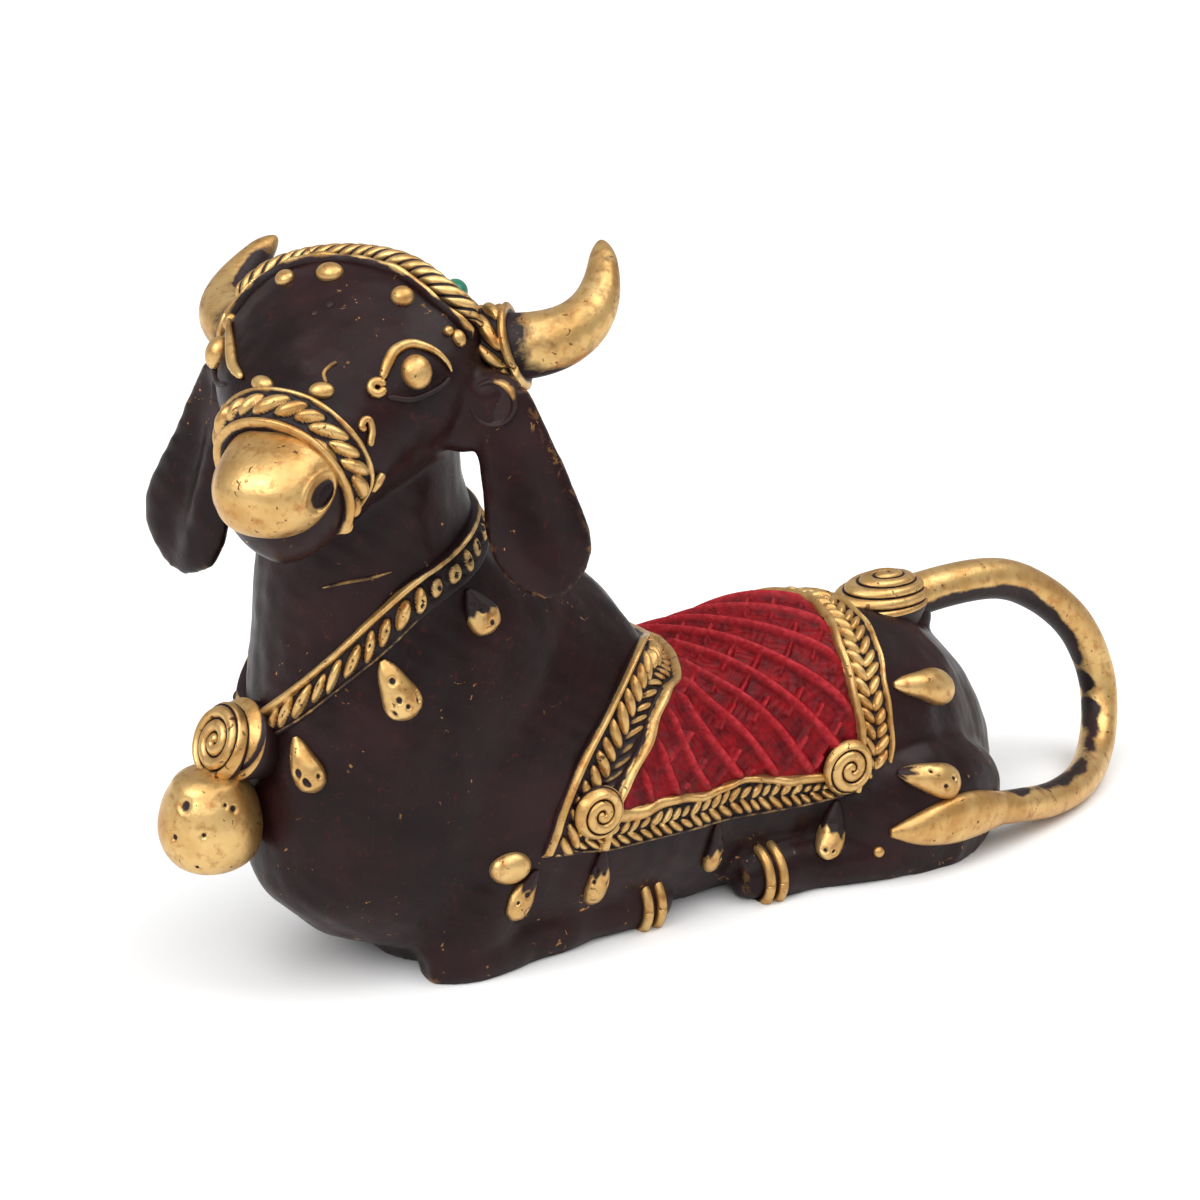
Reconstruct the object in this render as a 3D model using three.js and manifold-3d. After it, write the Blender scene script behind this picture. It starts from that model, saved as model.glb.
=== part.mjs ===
// Couchant bull cast in brass by the lost-wax thread method, in millimetres, +Z up.
// The bull faces -Y, its left side is +X, its tail loop reaches +Y, and it stands on Z = 0.
// It is one casting: body, head, horns, ears, legs and tail, with the wax-thread ornament fused onto it.
import * as THREE from 'three';
import { mergeVertices } from 'three/addons/utils/BufferGeometryUtils.js';
import Module from 'manifold-3d';

const wasm = await Module();
wasm.setup();

// Body, in mm
const chestFront = -49.5;         // foremost point of the chest, Y
const rumpEnd = 67;              // rearmost point of the rump, Y
const backHeight = 32.8;          // top of the back behind the shoulders, Z
const bodyHalfWidth = 18;        // half the width of the barrel and chest
const neckHalfWidth = 12.3;      // half the width of the neck under the head
const neckTop = 86;              // where the neck ends, inside the head, Z
const kneeLead = -0.3;           // how far the right foreleg lies ahead of the left one, Y
const rumpRounding = 25;         // length over which the rump is drawn in
const chestRounding = 13;        // length over which the chest end of the barrel is drawn in
const barrelStart = 8.5;         // how far the barrel begins behind the front of the chest
const belowBase = 3;             // how far the forms run below Z = 0 before they are cut flat

// Head, in mm and degrees
const headCentre = new THREE.Vector3(0, -34, 82.5);
const headYaw = 35.5;             // turned towards the bull's left
const headPitch = 24;            // nose held down
const headRoll = 2;              // leaning towards the bull's right
const foreheadHalfWidth = 16.5;
const skullBack = -11;           // from the head's centre to the back of the skull
const skullFront = 32.6;         // from the head's centre to the lip under the nose
const muzzleHalfWidth = 7.4;
const muzzleReach = 34.2;        // from the head's centre to the end of the nose
const domeStart = 22;            // where the polished nose begins, inside the face
const domeUp = 6;                // from the middle of the nose to its top
const domeDown = 5.3;            // from the middle of the nose to its underside
const nostrilHigh = 4.4;
const nostrilWide = 2.6;
const hornThick = 8.2;           // across the horn at its root
const hornTipThick = 2.6;
const earLength = 26;
const earWidth = 11.6;
const earThick = 3.8;
const earStandOff = 2.7;         // from the side of the forehead out to the left ear's root
const earKnob = 3.6;             // radius of the root, which sinks into the head
const hornInset = 1.5;           // from the side of the forehead in to the horn's root
const hornSpread = 14.1;         // from the side of the forehead out to the left horn's bend
const hornTipOut = 7.5;          // from the side of the forehead out to the left horn's tip
const hornTipBack = 19.5;        // how far the tip lies behind the head's centre

// Tail loop, in mm
const tailThick = 6.3;           // at the root, on the rump
const tailThinnest = 4.8;        // where it comes forward to the thigh
const tailReach = 86.8;          // rearmost point of the tail's centreline, Y

// Wax-thread ornament, in mm
const wire = 1.3;                // thickness of the plain wires
const sunk = 0.9;                // how far ornament runs into the form under it
const leafLift = 1.3;            // height of the leaf beads of a plait
const clothLift = 0.7;           // how far the saddle cloth stands up from the back
const ridge = 0.6;               // height of the cloth's lattice threads over the cloth
const latticeThreads = 7;        // lattice rows between the front border and the rear one
const latticeClimb = 8;          // lattice columns from the foot border up to the back
const coilThread = 1.9;          // how far the thread wound into a corner coil stands up
const coilRadius = 3.6;          // of the corner coils on the cloth
const tailCoilWide = 5.6;        // half the width of the domed coil that the tail leaves
const tailCoilLong = 7.5;        // half its length
const tailCoilDome = 2.6;        // how far its middle stands over its edge
const dropWidth = 4.7;           // of the larger pear drops
const eyeWide = 4;
const eyeHigh = 5;
const pendantRadius = 5.2;
const pendantTilt = 24;          // how far the pendant faces up, in degrees
const bellRadius = 6.4;
const bellHangs = 7.8;           // how far the bell's axis lies ahead of the chest

const radians = THREE.MathUtils.degToRad;
const vector = (x, y, z) => new THREE.Vector3(x, y, z);
const mix = THREE.MathUtils.lerp;

// Solids and skins

// A closed mesh as a solid that can be joined and cut.
function solidOf(geometry) {
  geometry.deleteAttribute('normal');
  geometry.deleteAttribute('uv');
  const merged = mergeVertices(geometry, 1e-5);
  const vertProperties = Float32Array.from(merged.attributes.position.array);
  const triVerts = Uint32Array.from(merged.index.array);
  return new wasm.Manifold(new wasm.Mesh({ numProp: 3, vertProperties, triVerts }));
}

// Six times the volume that a list of triangles encloses; it is negative when they face inwards.
function signedVolume(points, triangles) {
  const cross = vector(0, 0, 0);
  const corner = ([a, b, c]) => points[a].dot(cross.crossVectors(points[b], points[c]));
  return triangles.reduce((sum, triangle) => sum + corner(triangle), 0);
}

// A closed skin over a row of rings with the same number of points, with a flat fan at each end.
function skin(rings) {
  const sides = rings[0].length;
  const points = rings.flat();
  const triangles = [];
  for (let i = 0; i + 1 < rings.length; i += 1) {
    for (let j = 0; j < sides; j += 1) {
      const a = i * sides + j;
      const b = i * sides + (j + 1) % sides;
      triangles.push([a, b, a + sides], [b, b + sides, a + sides]);
    }
  }
  const middle = (ring) => ring.reduce((sum, p) => sum.add(p), vector(0, 0, 0)).divideScalar(sides);
  const firstMiddle = points.push(middle(rings[0])) - 1;
  const lastMiddle = points.push(middle(rings.at(-1))) - 1;
  const lastRing = (rings.length - 1) * sides;
  for (let j = 0; j < sides; j += 1) {
    const next = (j + 1) % sides;
    triangles.push([next, j, firstMiddle], [lastRing + j, lastRing + next, lastMiddle]);
  }
  if (signedVolume(points, triangles) < 0) {
    triangles.forEach((triangle) => triangle.reverse());
  }
  const geometry = new THREE.BufferGeometry();
  geometry.setFromPoints(points);
  geometry.setIndex(triangles.flat());
  return solidOf(geometry);
}

const steps = (count) => Array.from({ length: count + 1 }, (_, i) => i / count);
const around = (sides) => Array.from({ length: sides }, (_, j) => (j / sides) * 2 * Math.PI);

// Smooth values between the rows of a table, whose first column is the place along the form.
function between(rows, place) {
  const last = rows.length - 1;
  const at = THREE.MathUtils.clamp(place, rows[0][0], rows[last][0]);
  const i = Math.min(rows.findLastIndex((row) => row[0] <= at), last - 1);
  const slope = (k, column) => {
    const [low, high] = [rows[Math.max(k - 1, 0)], rows[Math.min(k + 1, last)]];
    return (high[column] - low[column]) / (high[0] - low[0]);
  };
  const span = rows[i + 1][0] - rows[i][0];
  const t = (at - rows[i][0]) / span;
  return rows[i].slice(1).map((value, k) => {
    const column = k + 1;
    const rise = rows[i + 1][column];
    return (2 * t ** 3 - 3 * t ** 2 + 1) * value + (3 * t ** 2 - 2 * t ** 3) * rise
      + span * ((t ** 3 - 2 * t ** 2 + t) * slope(i, column) + (t ** 3 - t ** 2) * slope(i + 1, column));
  });
}

// A point of a rounded oval: how far across and how far up it is at an angle.
function oval(angle, halfWidth, up, down, power) {
  const bend = (value) => Math.sign(value) * Math.abs(value) ** (2 / power);
  const height = bend(Math.sin(angle));
  return [halfWidth * bend(Math.cos(angle)), height * (height > 0 ? up : down)];
}

// How far a form is drawn in at a share of the way through its rounded end.
const roundedEnd = (share, power) => (1 - THREE.MathUtils.clamp(share, 0, 1) ** power) ** (1 / power);

// Body

// Barrel, from chest to rump: Y, top of the back, half width, height of the widest line
const barrelRows = [
  [chestFront + barrelStart, 50, 9.5, 25],
  [-38, 51, 12.6, 24],
  [-30, 51.4, 16.2, 22],
  [-21, 51.2, 18, 20],
  [-12, 50, 18.4, 18.5],
  [-6, 47.2, 18.2, 18],
  [-2, 43.2, 17.9, 17.6],
  [1, 38.8, 17.6, 17.3],
  [4.2, 35.6, 17.2, 17],
  [9, backHeight, 16.8, 17],
  [18, backHeight + 0.2, 16.6, 16.5],
  [29.5, backHeight + 1.3, bodyHalfWidth - 0.8, 15.5],
  [40, backHeight + 0.2, bodyHalfWidth + 0.2, 13],
  [50, backHeight, bodyHalfWidth + 0.6, 8],
  [rumpEnd, backHeight, bodyHalfWidth + 0.4, 3],
];

function barrelPoint(y, angle) {
  const [top, halfWidth, widest] = between(barrelRows, y);
  const rump = roundedEnd((y - rumpEnd + rumpRounding) / rumpRounding, 1.5);
  const chest = roundedEnd((chestFront + barrelStart + chestRounding - y) / chestRounding, 2.3);
  const drawn = Math.min(rump, chest);
  const [up, down] = [top - widest, widest + belowBase];
  const [across, height] = oval(angle, halfWidth * drawn, up * drawn, down * drawn, 2.25);
  return vector(across, y, widest + height);
}

// Chest and neck, a column that rises into the head: Z, front Y, rear Y, half width
const columnRows = [
  [-belowBase, -18, -12, 6],
  [0, -25, -10, 7.8],
  [4, -41, -8, 11.8],
  [8, -46.9, -7, 14.2],
  [13, chestFront - 1.1, -6, 15.8],
  [20, chestFront - 2, -5, 16.6],
  [30, chestFront - 1.6, -4, 16.8],
  [38, chestFront - 0.6, -4, 16.4],
  [45, chestFront + 0.3, -6, 15.2],
  [51, chestFront + 0.8, -12.6, 13.8],
  [56, chestFront + 1.4, -19.4, 12.9],
  [62, chestFront + 2, -22.3, neckHalfWidth],
  [68, chestFront + 3, -23.1, neckHalfWidth],
  [76, chestFront + 5, -23.6, neckHalfWidth - 0.4],
  [neckTop, chestFront + 9, -27, neckHalfWidth - 3.5],
];

function columnPoint(z, angle) {
  const [front, rear, halfWidth] = between(columnRows, z);
  const middle = (front + rear) / 2;
  const [across, back] = oval(angle, halfWidth, rear - middle, middle - front, 2.15);
  return vector(across, middle + back, z);
}

function loft(surface, places, sides) {
  return skin(places.map((place) => around(sides).map((angle) => surface(place, angle))));
}

// Places along a form that crowd together where its ends are rounded.
const crowded = (from, to, count) => steps(count).map((t) => mix(from, to, (1 - Math.cos(t * Math.PI)) / 2));

const column = loft(columnPoint, steps(11).map((t) => mix(-belowBase, neckTop, t)), 16);

// A limb or tail: rows of centre, half width, half height, swept with the height kept upright
function limb(rows, count, sides) {
  const path = new THREE.CatmullRomCurve3(rows.map(([centre]) => centre), false, 'centripetal');
  const sizes = rows.map(([, wide, high], i) => [i / (rows.length - 1), wide, high]);
  const rings = steps(count).map((t) => {
    const centre = path.getPoint(t);
    const ahead = path.getTangent(t);
    const side = vector(0, 0, 1).cross(ahead).normalize();
    const upward = ahead.clone().cross(side).normalize();
    const [wide, high] = between(sizes, t);
    return around(sides).map((angle) => centre.clone()
      .addScaledVector(side, wide * Math.cos(angle))
      .addScaledVector(upward, high * Math.sin(angle)));
  });
  return skin(rings);
}

// Axes of the neck, Y, and of the barrel, Z, from which things laid on the skin face out
const neckAxis = -27;
const barrelAxis = 15;

const mirrored = (side) => (x, y, z) => vector(side * x, y, z);

function foreleg(side) {
  const ahead = side > 0 ? 0 : kneeLead;
  const at = (x, y, z) => vector(side * x, y + ahead, z);
  const upperArm = limb([[at(8, -14, 20), 4, 7], [at(10.6, -22, 14), 6, 8], [at(12, -28, 7), 5.4, 6.4],
    [at(12.4, -33, 2), 3, 2.4]], 5, 7);
  const shin = limb([[at(11.4, -34, 2), 2.6, 3], [at(12, -28.6, 2.4), 4.8, 4.6], [at(12.3, -17, 3.2), 4, 4.4],
    [at(12.4, -7.4, 3.4), 3.6, 3.9], [at(12.4, -1, 3.2), 3.8, 3.9], [at(12.4, 2, 3), 2.6, 2.8]], 7, 7);
  return upperArm.add(shin);
}

function hindLeg(side) {
  const at = mirrored(side);
  const haunch = limb([[at(13, 24, 8), 2, 3], [at(15.4, 33, 7.5), 5.8, 9.6], [at(16.6, 43, 6.4), 6.6, 11.2],
    [at(14.2, 52.4, 6.2), 5.1, 8], [at(9.8, 57, 6), 2.2, 4]], 6, 8);
  const cannon = limb([[at(17.6, 45, 2.8), 5.4, 4.4], [at(17.2, 35, 2.8), 5, 4.4],
    [at(15.4, 25, 3), 4.1, 4.1], [at(14.5, 16.2, 3.2), 3.9, 3.9], [at(14.1, 12.4, 3), 2.6, 2.8]], 6, 7);
  return haunch.add(cannon);
}

// Head

const yaw = radians(headYaw);
const pitch = radians(headPitch);
const roll = radians(headRoll);
const heading = vector(Math.sin(yaw), -Math.cos(yaw), 0);
const level = vector(Math.cos(yaw), Math.sin(yaw), 0);
const upright = vector(0, 0, 1);
const noseward = heading.clone().multiplyScalar(Math.cos(pitch)).addScaledVector(upright, -Math.sin(pitch));
const rising = heading.clone().multiplyScalar(Math.sin(pitch)).addScaledVector(upright, Math.cos(pitch));
const leftward = level.clone().multiplyScalar(Math.cos(roll)).addScaledVector(rising, Math.sin(roll));
const crownward = rising.clone().multiplyScalar(Math.cos(roll)).addScaledVector(level, -Math.sin(roll));

// A point of the head: to the bull's left, towards the nose, towards the crown
function onHeadAxes(left, nose, crown) {
  return headCentre.clone().addScaledVector(leftward, left).addScaledVector(noseward, nose)
    .addScaledVector(crownward, crown);
}

// Skull and face: place towards the nose, half width, top, bottom, height of the widest line
const headRows = [
  [-10, foreheadHalfWidth - 6.5, 0.5, -9, -3],
  [-6, foreheadHalfWidth - 3.1, 5.4, -10.5, -2],
  [-2, foreheadHalfWidth - 0.9, 8.9, -12, -1.4],
  [2, foreheadHalfWidth, 9.6, -13, -1.2],
  [8, foreheadHalfWidth, 8.4, -13.5, -1.6],
  [13, foreheadHalfWidth - 2.2, 7.2, -13.5, -2],
  [17, muzzleHalfWidth + 4.1, 6, -13.2, -2.6],
  [21, muzzleHalfWidth + 2.4, 5.2, -12.6, -3],
  [26, muzzleHalfWidth, 3.8, -12, -3.8],
  [33, muzzleHalfWidth - 1.6, 1.2, -11.4, -5],
];
const backRounding = 5;
const frontRounding = 4.6;

function headPoint(nose, angle) {
  const [halfWidth, top, bottom, widest] = between(headRows, nose);
  const back = roundedEnd((backRounding + skullBack - nose) / backRounding, 2.2);
  const front = roundedEnd((nose - skullFront + frontRounding) / frontRounding, 2.2);
  const drawn = Math.min(back, front);
  const [up, down] = [top - widest, widest - bottom];
  const [across, height] = oval(angle, halfWidth * drawn, up * drawn, down * drawn, 2.1);
  return onHeadAxes(across, nose, widest + height);
}

const skull = loft(headPoint, crowded(skullBack + 0.02, skullFront - 0.02, 12), 18);

// The polished nose: a dome that closes the muzzle above the mouth line
const domeRounding = 8.8;
const domeMiddle = -1.3;
function domePoint(nose, angle) {
  const drawn = roundedEnd((nose - muzzleReach + domeRounding) / domeRounding, 2.7);
  const halfWidth = (muzzleHalfWidth + 0.2) * drawn;
  const [across, height] = oval(angle, halfWidth, domeUp * drawn, domeDown * drawn, 2.45);
  return onHeadAxes(across, nose, height + domeMiddle);
}
const dome = loft(domePoint, crowded(domeStart, muzzleReach - 0.02, 6), 14);

function nostril(side) {
  const hollow = new THREE.SphereGeometry(1, 8, 6);
  hollow.scale(nostrilWide / 2, nostrilWide / 2, nostrilHigh / 2);
  const turn = new THREE.Matrix4().makeBasis(noseward, leftward, crownward);
  turn.setPosition(onHeadAxes(side * (muzzleHalfWidth - 0.2), muzzleReach - 5.2, domeMiddle + 1.2));
  hollow.applyMatrix4(turn);
  return solidOf(hollow);
}

// A horn: root, bend and tip on the head's axes. The tip leans back and up, the right one less far out.
function hornSurface(side) {
  const [shorter, lower] = side > 0 ? [0, 0] : [2, 1];
  const curve = new THREE.QuadraticBezierCurve3(
    onHeadAxes(side * (foreheadHalfWidth - hornInset), -1.6, -2.6 - 0.4 * lower),
    onHeadAxes(side * (foreheadHalfWidth + hornSpread - shorter), -4.4, -4.8 - 0.4 * lower),
    onHeadAxes(side * (foreheadHalfWidth + hornTipOut - 1.3 * shorter), -hornTipBack, 0.5 - 2.3 * lower),
  );
  return (share, angle) => {
    const ahead = curve.getTangent(share);
    const across = ahead.clone().cross(crownward).normalize();
    const upward = across.clone().cross(ahead).normalize();
    const radius = mix(hornThick / 2, hornTipThick / 2, THREE.MathUtils.clamp(share, 0, 1) ** 1.9)
      * roundedEnd((share - 0.9) / 0.11, 2);
    return curve.getPoint(share).addScaledVector(across, radius * Math.cos(angle))
      .addScaledVector(upward, radius * Math.sin(angle));
  };
}

// Rows of a horn: share of its length, then how far its strap stands up at even and at odd places round it
const hornRows = [[0, 0, 0], [0.04, 0, 0], [0.06, 0.8, 0.8], [0.11, 0.2, 1.1], [0.16, 0.2, 0.7], [0.19, 1, 1],
  [0.21, 0, 0], [0.36, 0, 0], [0.5, 0, 0], [0.64, 0, 0], [0.78, 0, 0], [0.92, 0, 0], [1, 0, 0]];

function horn(side) {
  const surface = hornSurface(side);
  return skin(hornRows.map(([share, even, odd]) => around(8).map((angle, j) => {
    const middle = surface(share, 0).add(surface(share, Math.PI)).multiplyScalar(0.5);
    const point = surface(share, angle);
    const out = point.clone().sub(middle).normalize();
    return point.addScaledVector(out, j % 2 === 0 ? even : odd);
  })));
}

// An ear: a thick leaf that hangs from beside the horn, hollowed on its face
const earRows = [
  [0, 0.6, 1],
  [0.15, 0.7, 1],
  [0.4, 0.88, 1],
  [0.7, 1.06, 0.95],
  [0.88, 0.86, 0.8],
  [1, 0.3, 0.4],
];

function ear(side) {
  const [nearer, lean, drop, fuller] = side > 0 ? [0, 0, 0.85, 0] : [2, 1.6, 0.92, 0.34];
  const root = onHeadAxes(side * (foreheadHalfWidth + earStandOff - nearer), 5.6, -3.6);
  const tip = onHeadAxes(side * (foreheadHalfWidth + earStandOff + 6.8 + lean), 15.7, -4 - earLength * drop);
  const down = tip.clone().sub(root).normalize();
  const splay = radians(20 * side);
  const face = heading.clone().multiplyScalar(Math.cos(splay)).addScaledVector(level, Math.sin(splay));
  const across = down.clone().cross(face).normalize();
  const outward = across.clone().cross(down).normalize();
  const rings = steps(7).map((t) => {
    const [share, thick] = between(earRows, t);
    const wide = share * (1 + fuller * t ** 1.5);
    const centre = root.clone().lerp(tip, t);
    return around(8).map((angle) => {
      const [x, y] = oval(angle, wide * earWidth / 2, thick * earThick / 2, thick * earThick / 2, 2.4);
      const cup = Math.sin(angle) > 0 ? Math.sin(Math.PI * t) * 1.3 * (1 - Math.cos(angle) ** 2) : 0;
      return centre.clone().addScaledVector(across, x).addScaledVector(outward, y - cup);
    });
  });
  const knob = new THREE.SphereGeometry(earKnob, 8, 6);
  knob.translate(...onHeadAxes(side * (foreheadHalfWidth + earStandOff - nearer - 1.2), 6.2, -4.2).toArray());
  const web = new THREE.SphereGeometry(earKnob + 0.2, 8, 6);
  web.translate(...onHeadAxes(side * (foreheadHalfWidth - 1.9), 7.4, -8.6).toArray());
  return skin(rings).add(solidOf(knob)).add(solidOf(web));
}

// Tail: a loop from a coil on the rump, back and down, and forward to the left thigh
const tailPath = [
  vector(0, 46, 29), vector(0, 54, 31.2), vector(0, 67.4, 31), vector(0.2, 76.2, 27.4),
  vector(1, 83.4, 21.1), vector(2.4, tailReach, 13.8), vector(4.8, tailReach - 0.7, 7.7),
  vector(9, 81.6, 3.6), vector(14.2, 74.2, 2.7), vector(17.6, 66, 3.1), vector(19.8, 58, 4.8),
  vector(21.2, 50, 6.6),
];

function tail() {
  const path = new THREE.CatmullRomCurve3(tailPath, false, 'centripetal');
  const frames = path.computeFrenetFrames(20);
  const rings = steps(20).map((t, i) => {
    const radius = mix(tailThick, tailThinnest, Math.min(t * 1.1, 1)) / 2;
    return around(7).map((angle) => path.getPointAt(t)
      .addScaledVector(frames.normals[i], radius * Math.cos(angle))
      .addScaledVector(frames.binormals[i], radius * Math.sin(angle)));
  });
  return skin(rings);
}

// Ornament laid on the forms

// The outward normal of a form at a place and angle.
function outwardNormal(surface, place, angle) {
  const reach = 0.01;
  const middle = surface(place, 0).add(surface(place, Math.PI)).multiplyScalar(0.5);
  const along = surface(place + reach, angle).sub(surface(place - reach, angle));
  const round = surface(place, angle + reach).sub(surface(place, angle - reach));
  const normal = along.cross(round).normalize();
  return normal.dot(surface(place, angle).sub(middle)) < 0 ? normal.negate() : normal;
}

const lifted = (surface, place, angle, lift) => surface(place, angle)
  .addScaledVector(outwardNormal(surface, place, angle), lift);

// A band of threads on a form. Each line has rows of share of its length, place and angle in degrees.
// A thread is its place across the lines (0 on the first, 1 on the second and so on), its lift at even
// and at odd steps, and its slant in steps.
function band(surface, lines, count, section) {
  const rings = steps(count).map((t, i) => {
    const at = (across, lift, slant) => {
      const share = THREE.MathUtils.clamp(t + slant / count, 0, 1);
      const first = Math.min(Math.floor(across), lines.length - 2);
      const [placeA, angleA] = between(lines[first], share);
      const [placeB, angleB] = between(lines[first + 1], share);
      const angle = radians(mix(angleA, angleB, across - first));
      return lifted(surface, mix(placeA, placeB, across - first), angle, lift);
    };
    const threads = section.map(([across, even, odd, slant]) => at(across, i % 2 === 0 ? even : odd, slant));
    return [at(0, -sunk, 0), ...threads, at(lines.length - 1, -sunk, 0)];
  });
  return skin(rings);
}

// Rows of place and angle, spread evenly along a line.
const evenly = (rows) => rows.map((row, i) => [i / (rows.length - 1), ...row]);

// One row of slanted leaf beads between two wires
const plait = [
  [0.05, wire * 0.7, wire * 0.7, 0],
  [0.5, leafLift, 0.1, 0.6],
  [0.95, wire * 0.6, wire * 0.6, 0],
];
// Two rows of leaf beads that meet like the barbs of a feather, between two wires
const feather = [
  [0.05, wire * 0.8, wire * 0.8, 0],
  [0.34, leafLift, 0.1, 0],
  [0.66, leafLift, 0.1, 0.6],
  [0.94, wire, wire, 0],
];

// Saddle cloth on the flank by angle in degrees: Y of the front border's outer and inner edges, then of the
// rear border's inner and outer edges
const clothEdges = [
  [-30, -22.5, -12, 28.6, 33.5],
  [-6, -20.4, -11, 29.2, 35],
  [4, -18, -9.1, 29.7, 35.7],
  [12, -15.6, -5.5, 30, 36.1],
  [18, -13.4, -3.6, 30, 36.2],
  [34, -7.2, 0, 30, 36.5],
  [51, -2.3, 4.3, 30.6, 37.9],
  [68, 1.3, 7, 32, 39.1],
  [90, 3.6, 9.8, 33.6, 39.8],
];
// The foot border by Y: its lower and upper edges as angles in degrees
const clothFoot = [
  [-20, -6, 3],
  [-12, -8, 3],
  [-4, -8, 3.4],
  [4, -8, 5],
  [12, -9, 6.5],
  [20, -10, 3],
  [28, -8.6, 1],
  [36, -5, 1],
];

// Rows and columns of the barrel, each with its lift at even and at odd places. From 0 to 1 a row lies in the
// front border, from 1 to 2 in the field and from 2 to 3 in the rear border; a column from 0 to 1 lies in the
// foot border. Rows and columns outside the cloth are bare.
const bare = (place) => [place, 0, 0];
const field = (place) => [place, clothLift + ridge, clothLift - ridge];
const clothRows = [
  ...[-1, -0.93, -0.75, -0.4, -0.02].map(bare),
  ...feather,
  ...Array.from({ length: latticeThreads }, (_, k) => field(1 + (k + 0.7) / (latticeThreads + 0.4))),
  ...feather.map(([across, ...lifts]) => [3 - across, ...lifts]).reverse(),
  ...[3.02, 3.25, 3.5, 3.72, 3.88, 3.97, 4].map(bare),
];
const clothColumns = [
  ...[-3, -2, -1.2, -0.5, -0.08].map(bare),
  ...feather,
  ...Array.from({ length: latticeClimb }, (_, k) => field(1 + (k + 1) / latticeClimb)),
];

function barrelY(row, degrees) {
  const edges = between(clothEdges, degrees);
  if (row < 0) {
    return mix(edges[0], chestFront + barrelStart + 0.02, -row);
  }
  if (row > 3) {
    return mix(edges[3], rumpEnd - 0.02, row - 3);
  }
  const first = Math.min(Math.floor(row), 2);
  return mix(edges[first], edges[first + 1], row - first);
}

function barrelDegrees(column, y) {
  const [low, high] = between(clothFoot, y);
  if (column < 0) {
    return mix(low, -90, -column / 3);
  }
  return column < 1 ? mix(low, high, column) : mix(high, 90, column - 1);
}

function clothPoint(row, i, column, j, side) {
  const rough = barrelY(row[0], barrelDegrees(column[0], 10));
  const degrees = barrelDegrees(column[0], rough);
  const y = barrelY(row[0], degrees);
  const inField = row[0] > 1 && row[0] < 2 && column[0] > 1;
  const onCloth = row[0] >= 0 && row[0] <= 3 && column[0] >= 0;
  const rowLift = row[1 + (j % 2)];
  const columnLift = column[1 + (i % 2)];
  let lift = onCloth ? Math.max(row[0] > 1 && row[0] < 2 ? 0 : rowLift, column[0] > 1 ? 0 : columnLift) : 0;
  if (inField) {
    lift = row[1 + ((i + j) % 2)];
  }
  const point = lifted(barrelPoint, y, radians(degrees), lift);
  point.x *= side;
  return point;
}

function barrelWithCloth() {
  const last = clothColumns.length - 1;
  return skin(clothRows.map((row, i) => [
    ...clothColumns.map((column, j) => clothPoint(row, i, column, j, 1)),
    ...clothColumns.slice(1, last).map((column, j) => clothPoint(row, i, column, j + 1, -1)).reverse(),
  ]));
}

// Collar on the neck: degrees round from the front, height of its top wire, height of its low wire
const collarRows = [
  [0, 36.2, 31.8],
  [23, 42, 36.6],
  [42, 47, 41.6],
  [60, 51.2, 46],
  [78, 54.3, 49.8],
  [100, 56.6, 52.6],
  [140, 59.5, 55.5],
  [180, 61, 57],
];

const collarLap = 2;              // how far its ends run past each other at the nape, in degrees
const rightSag = 9;               // how far behind its place the collar is on the right, in degrees

function collar() {
  const lines = [1, 2].map((column) => steps(24).map((t) => {
    const turn = mix(-180 - collarLap, 180 + collarLap, t);
    const sag = turn < 0 ? rightSag * Math.sin(radians(Math.min(-turn * 2, 180))) : 0;
    return [t, between(collarRows, Math.abs(turn) - sag)[column - 1], turn - 90];
  }));
  return band(columnPoint, lines, 34, plait);
}

// Crown rope from horn to horn, and the noseband: place towards the nose and angle in degrees
const crownFront = evenly([[3, 16], [3, 28], [2.4, 45], [1, 60], [0, 74], [-0.6, 90], [-0.8, 107],
  [-0.4, 122], [1, 134], [3.2, 146], [4.6, 158]]);
const crownRear = evenly([[-1.6, 16], [-1.6, 28], [-2.2, 45], [-3.4, 60], [-4.4, 74], [-5, 90], [-5.2, 107],
  [-5, 122], [-3.8, 134], [-2, 146], [-0.6, 158]]);
const nosebandRear = evenly([[25.4, -52], [22.6, -30], [20.4, 0], [19.7, 30], [18.9, 60], [18, 90],
  [17.8, 120], [18.2, 150], [18.8, 180], [20.6, 210], [23.4, 232]]);
const nosebandFront = evenly([[26.8, -52], [26.6, -30], [25.6, 0], [25, 30], [24.4, 60], [23.9, 90],
  [23.4, 120], [22.6, 150], [22.8, 180], [24, 210], [25.2, 232]]);

// A function that sets local points, across, up and out, on a seat that faces outwards.
function seat(centre, out) {
  const across = vector(0, 0, 1).cross(out).normalize();
  const up = out.clone().cross(across);
  return (x, y, z) => centre.clone().addScaledVector(across, x).addScaledVector(up, y)
    .addScaledVector(out, z);
}
const seatOn = (surface, place, degrees) => seat(
  surface(place, radians(degrees)),
  outwardNormal(surface, place, radians(degrees)),
);

// The angle in degrees at which the head's skin comes nearest to a point on the head's axes
function pressed(left, nose, crown) {
  const point = onHeadAxes(left, nose, crown);
  const away = (degrees) => headPoint(nose, radians(degrees)).distanceTo(point);
  const nearer = (best, degrees) => (away(degrees) < away(best) ? degrees : best);
  return steps(360).map((t) => t * 360).reduce(nearer);
}

// A round form on a seat: rows of height out of the seat and share of the half width
function boss(at, rows, wide, high, sides) {
  return skin(rows.map(([out, share]) => around(sides).map((angle) => at(
    wide * share * Math.cos(angle),
    high * share * Math.sin(angle),
    out,
  ))));
}

const bead = (at, size) => boss(at, [[-0.6, 1], [size * 0.7, 0.6]], size, size, 6);

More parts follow.
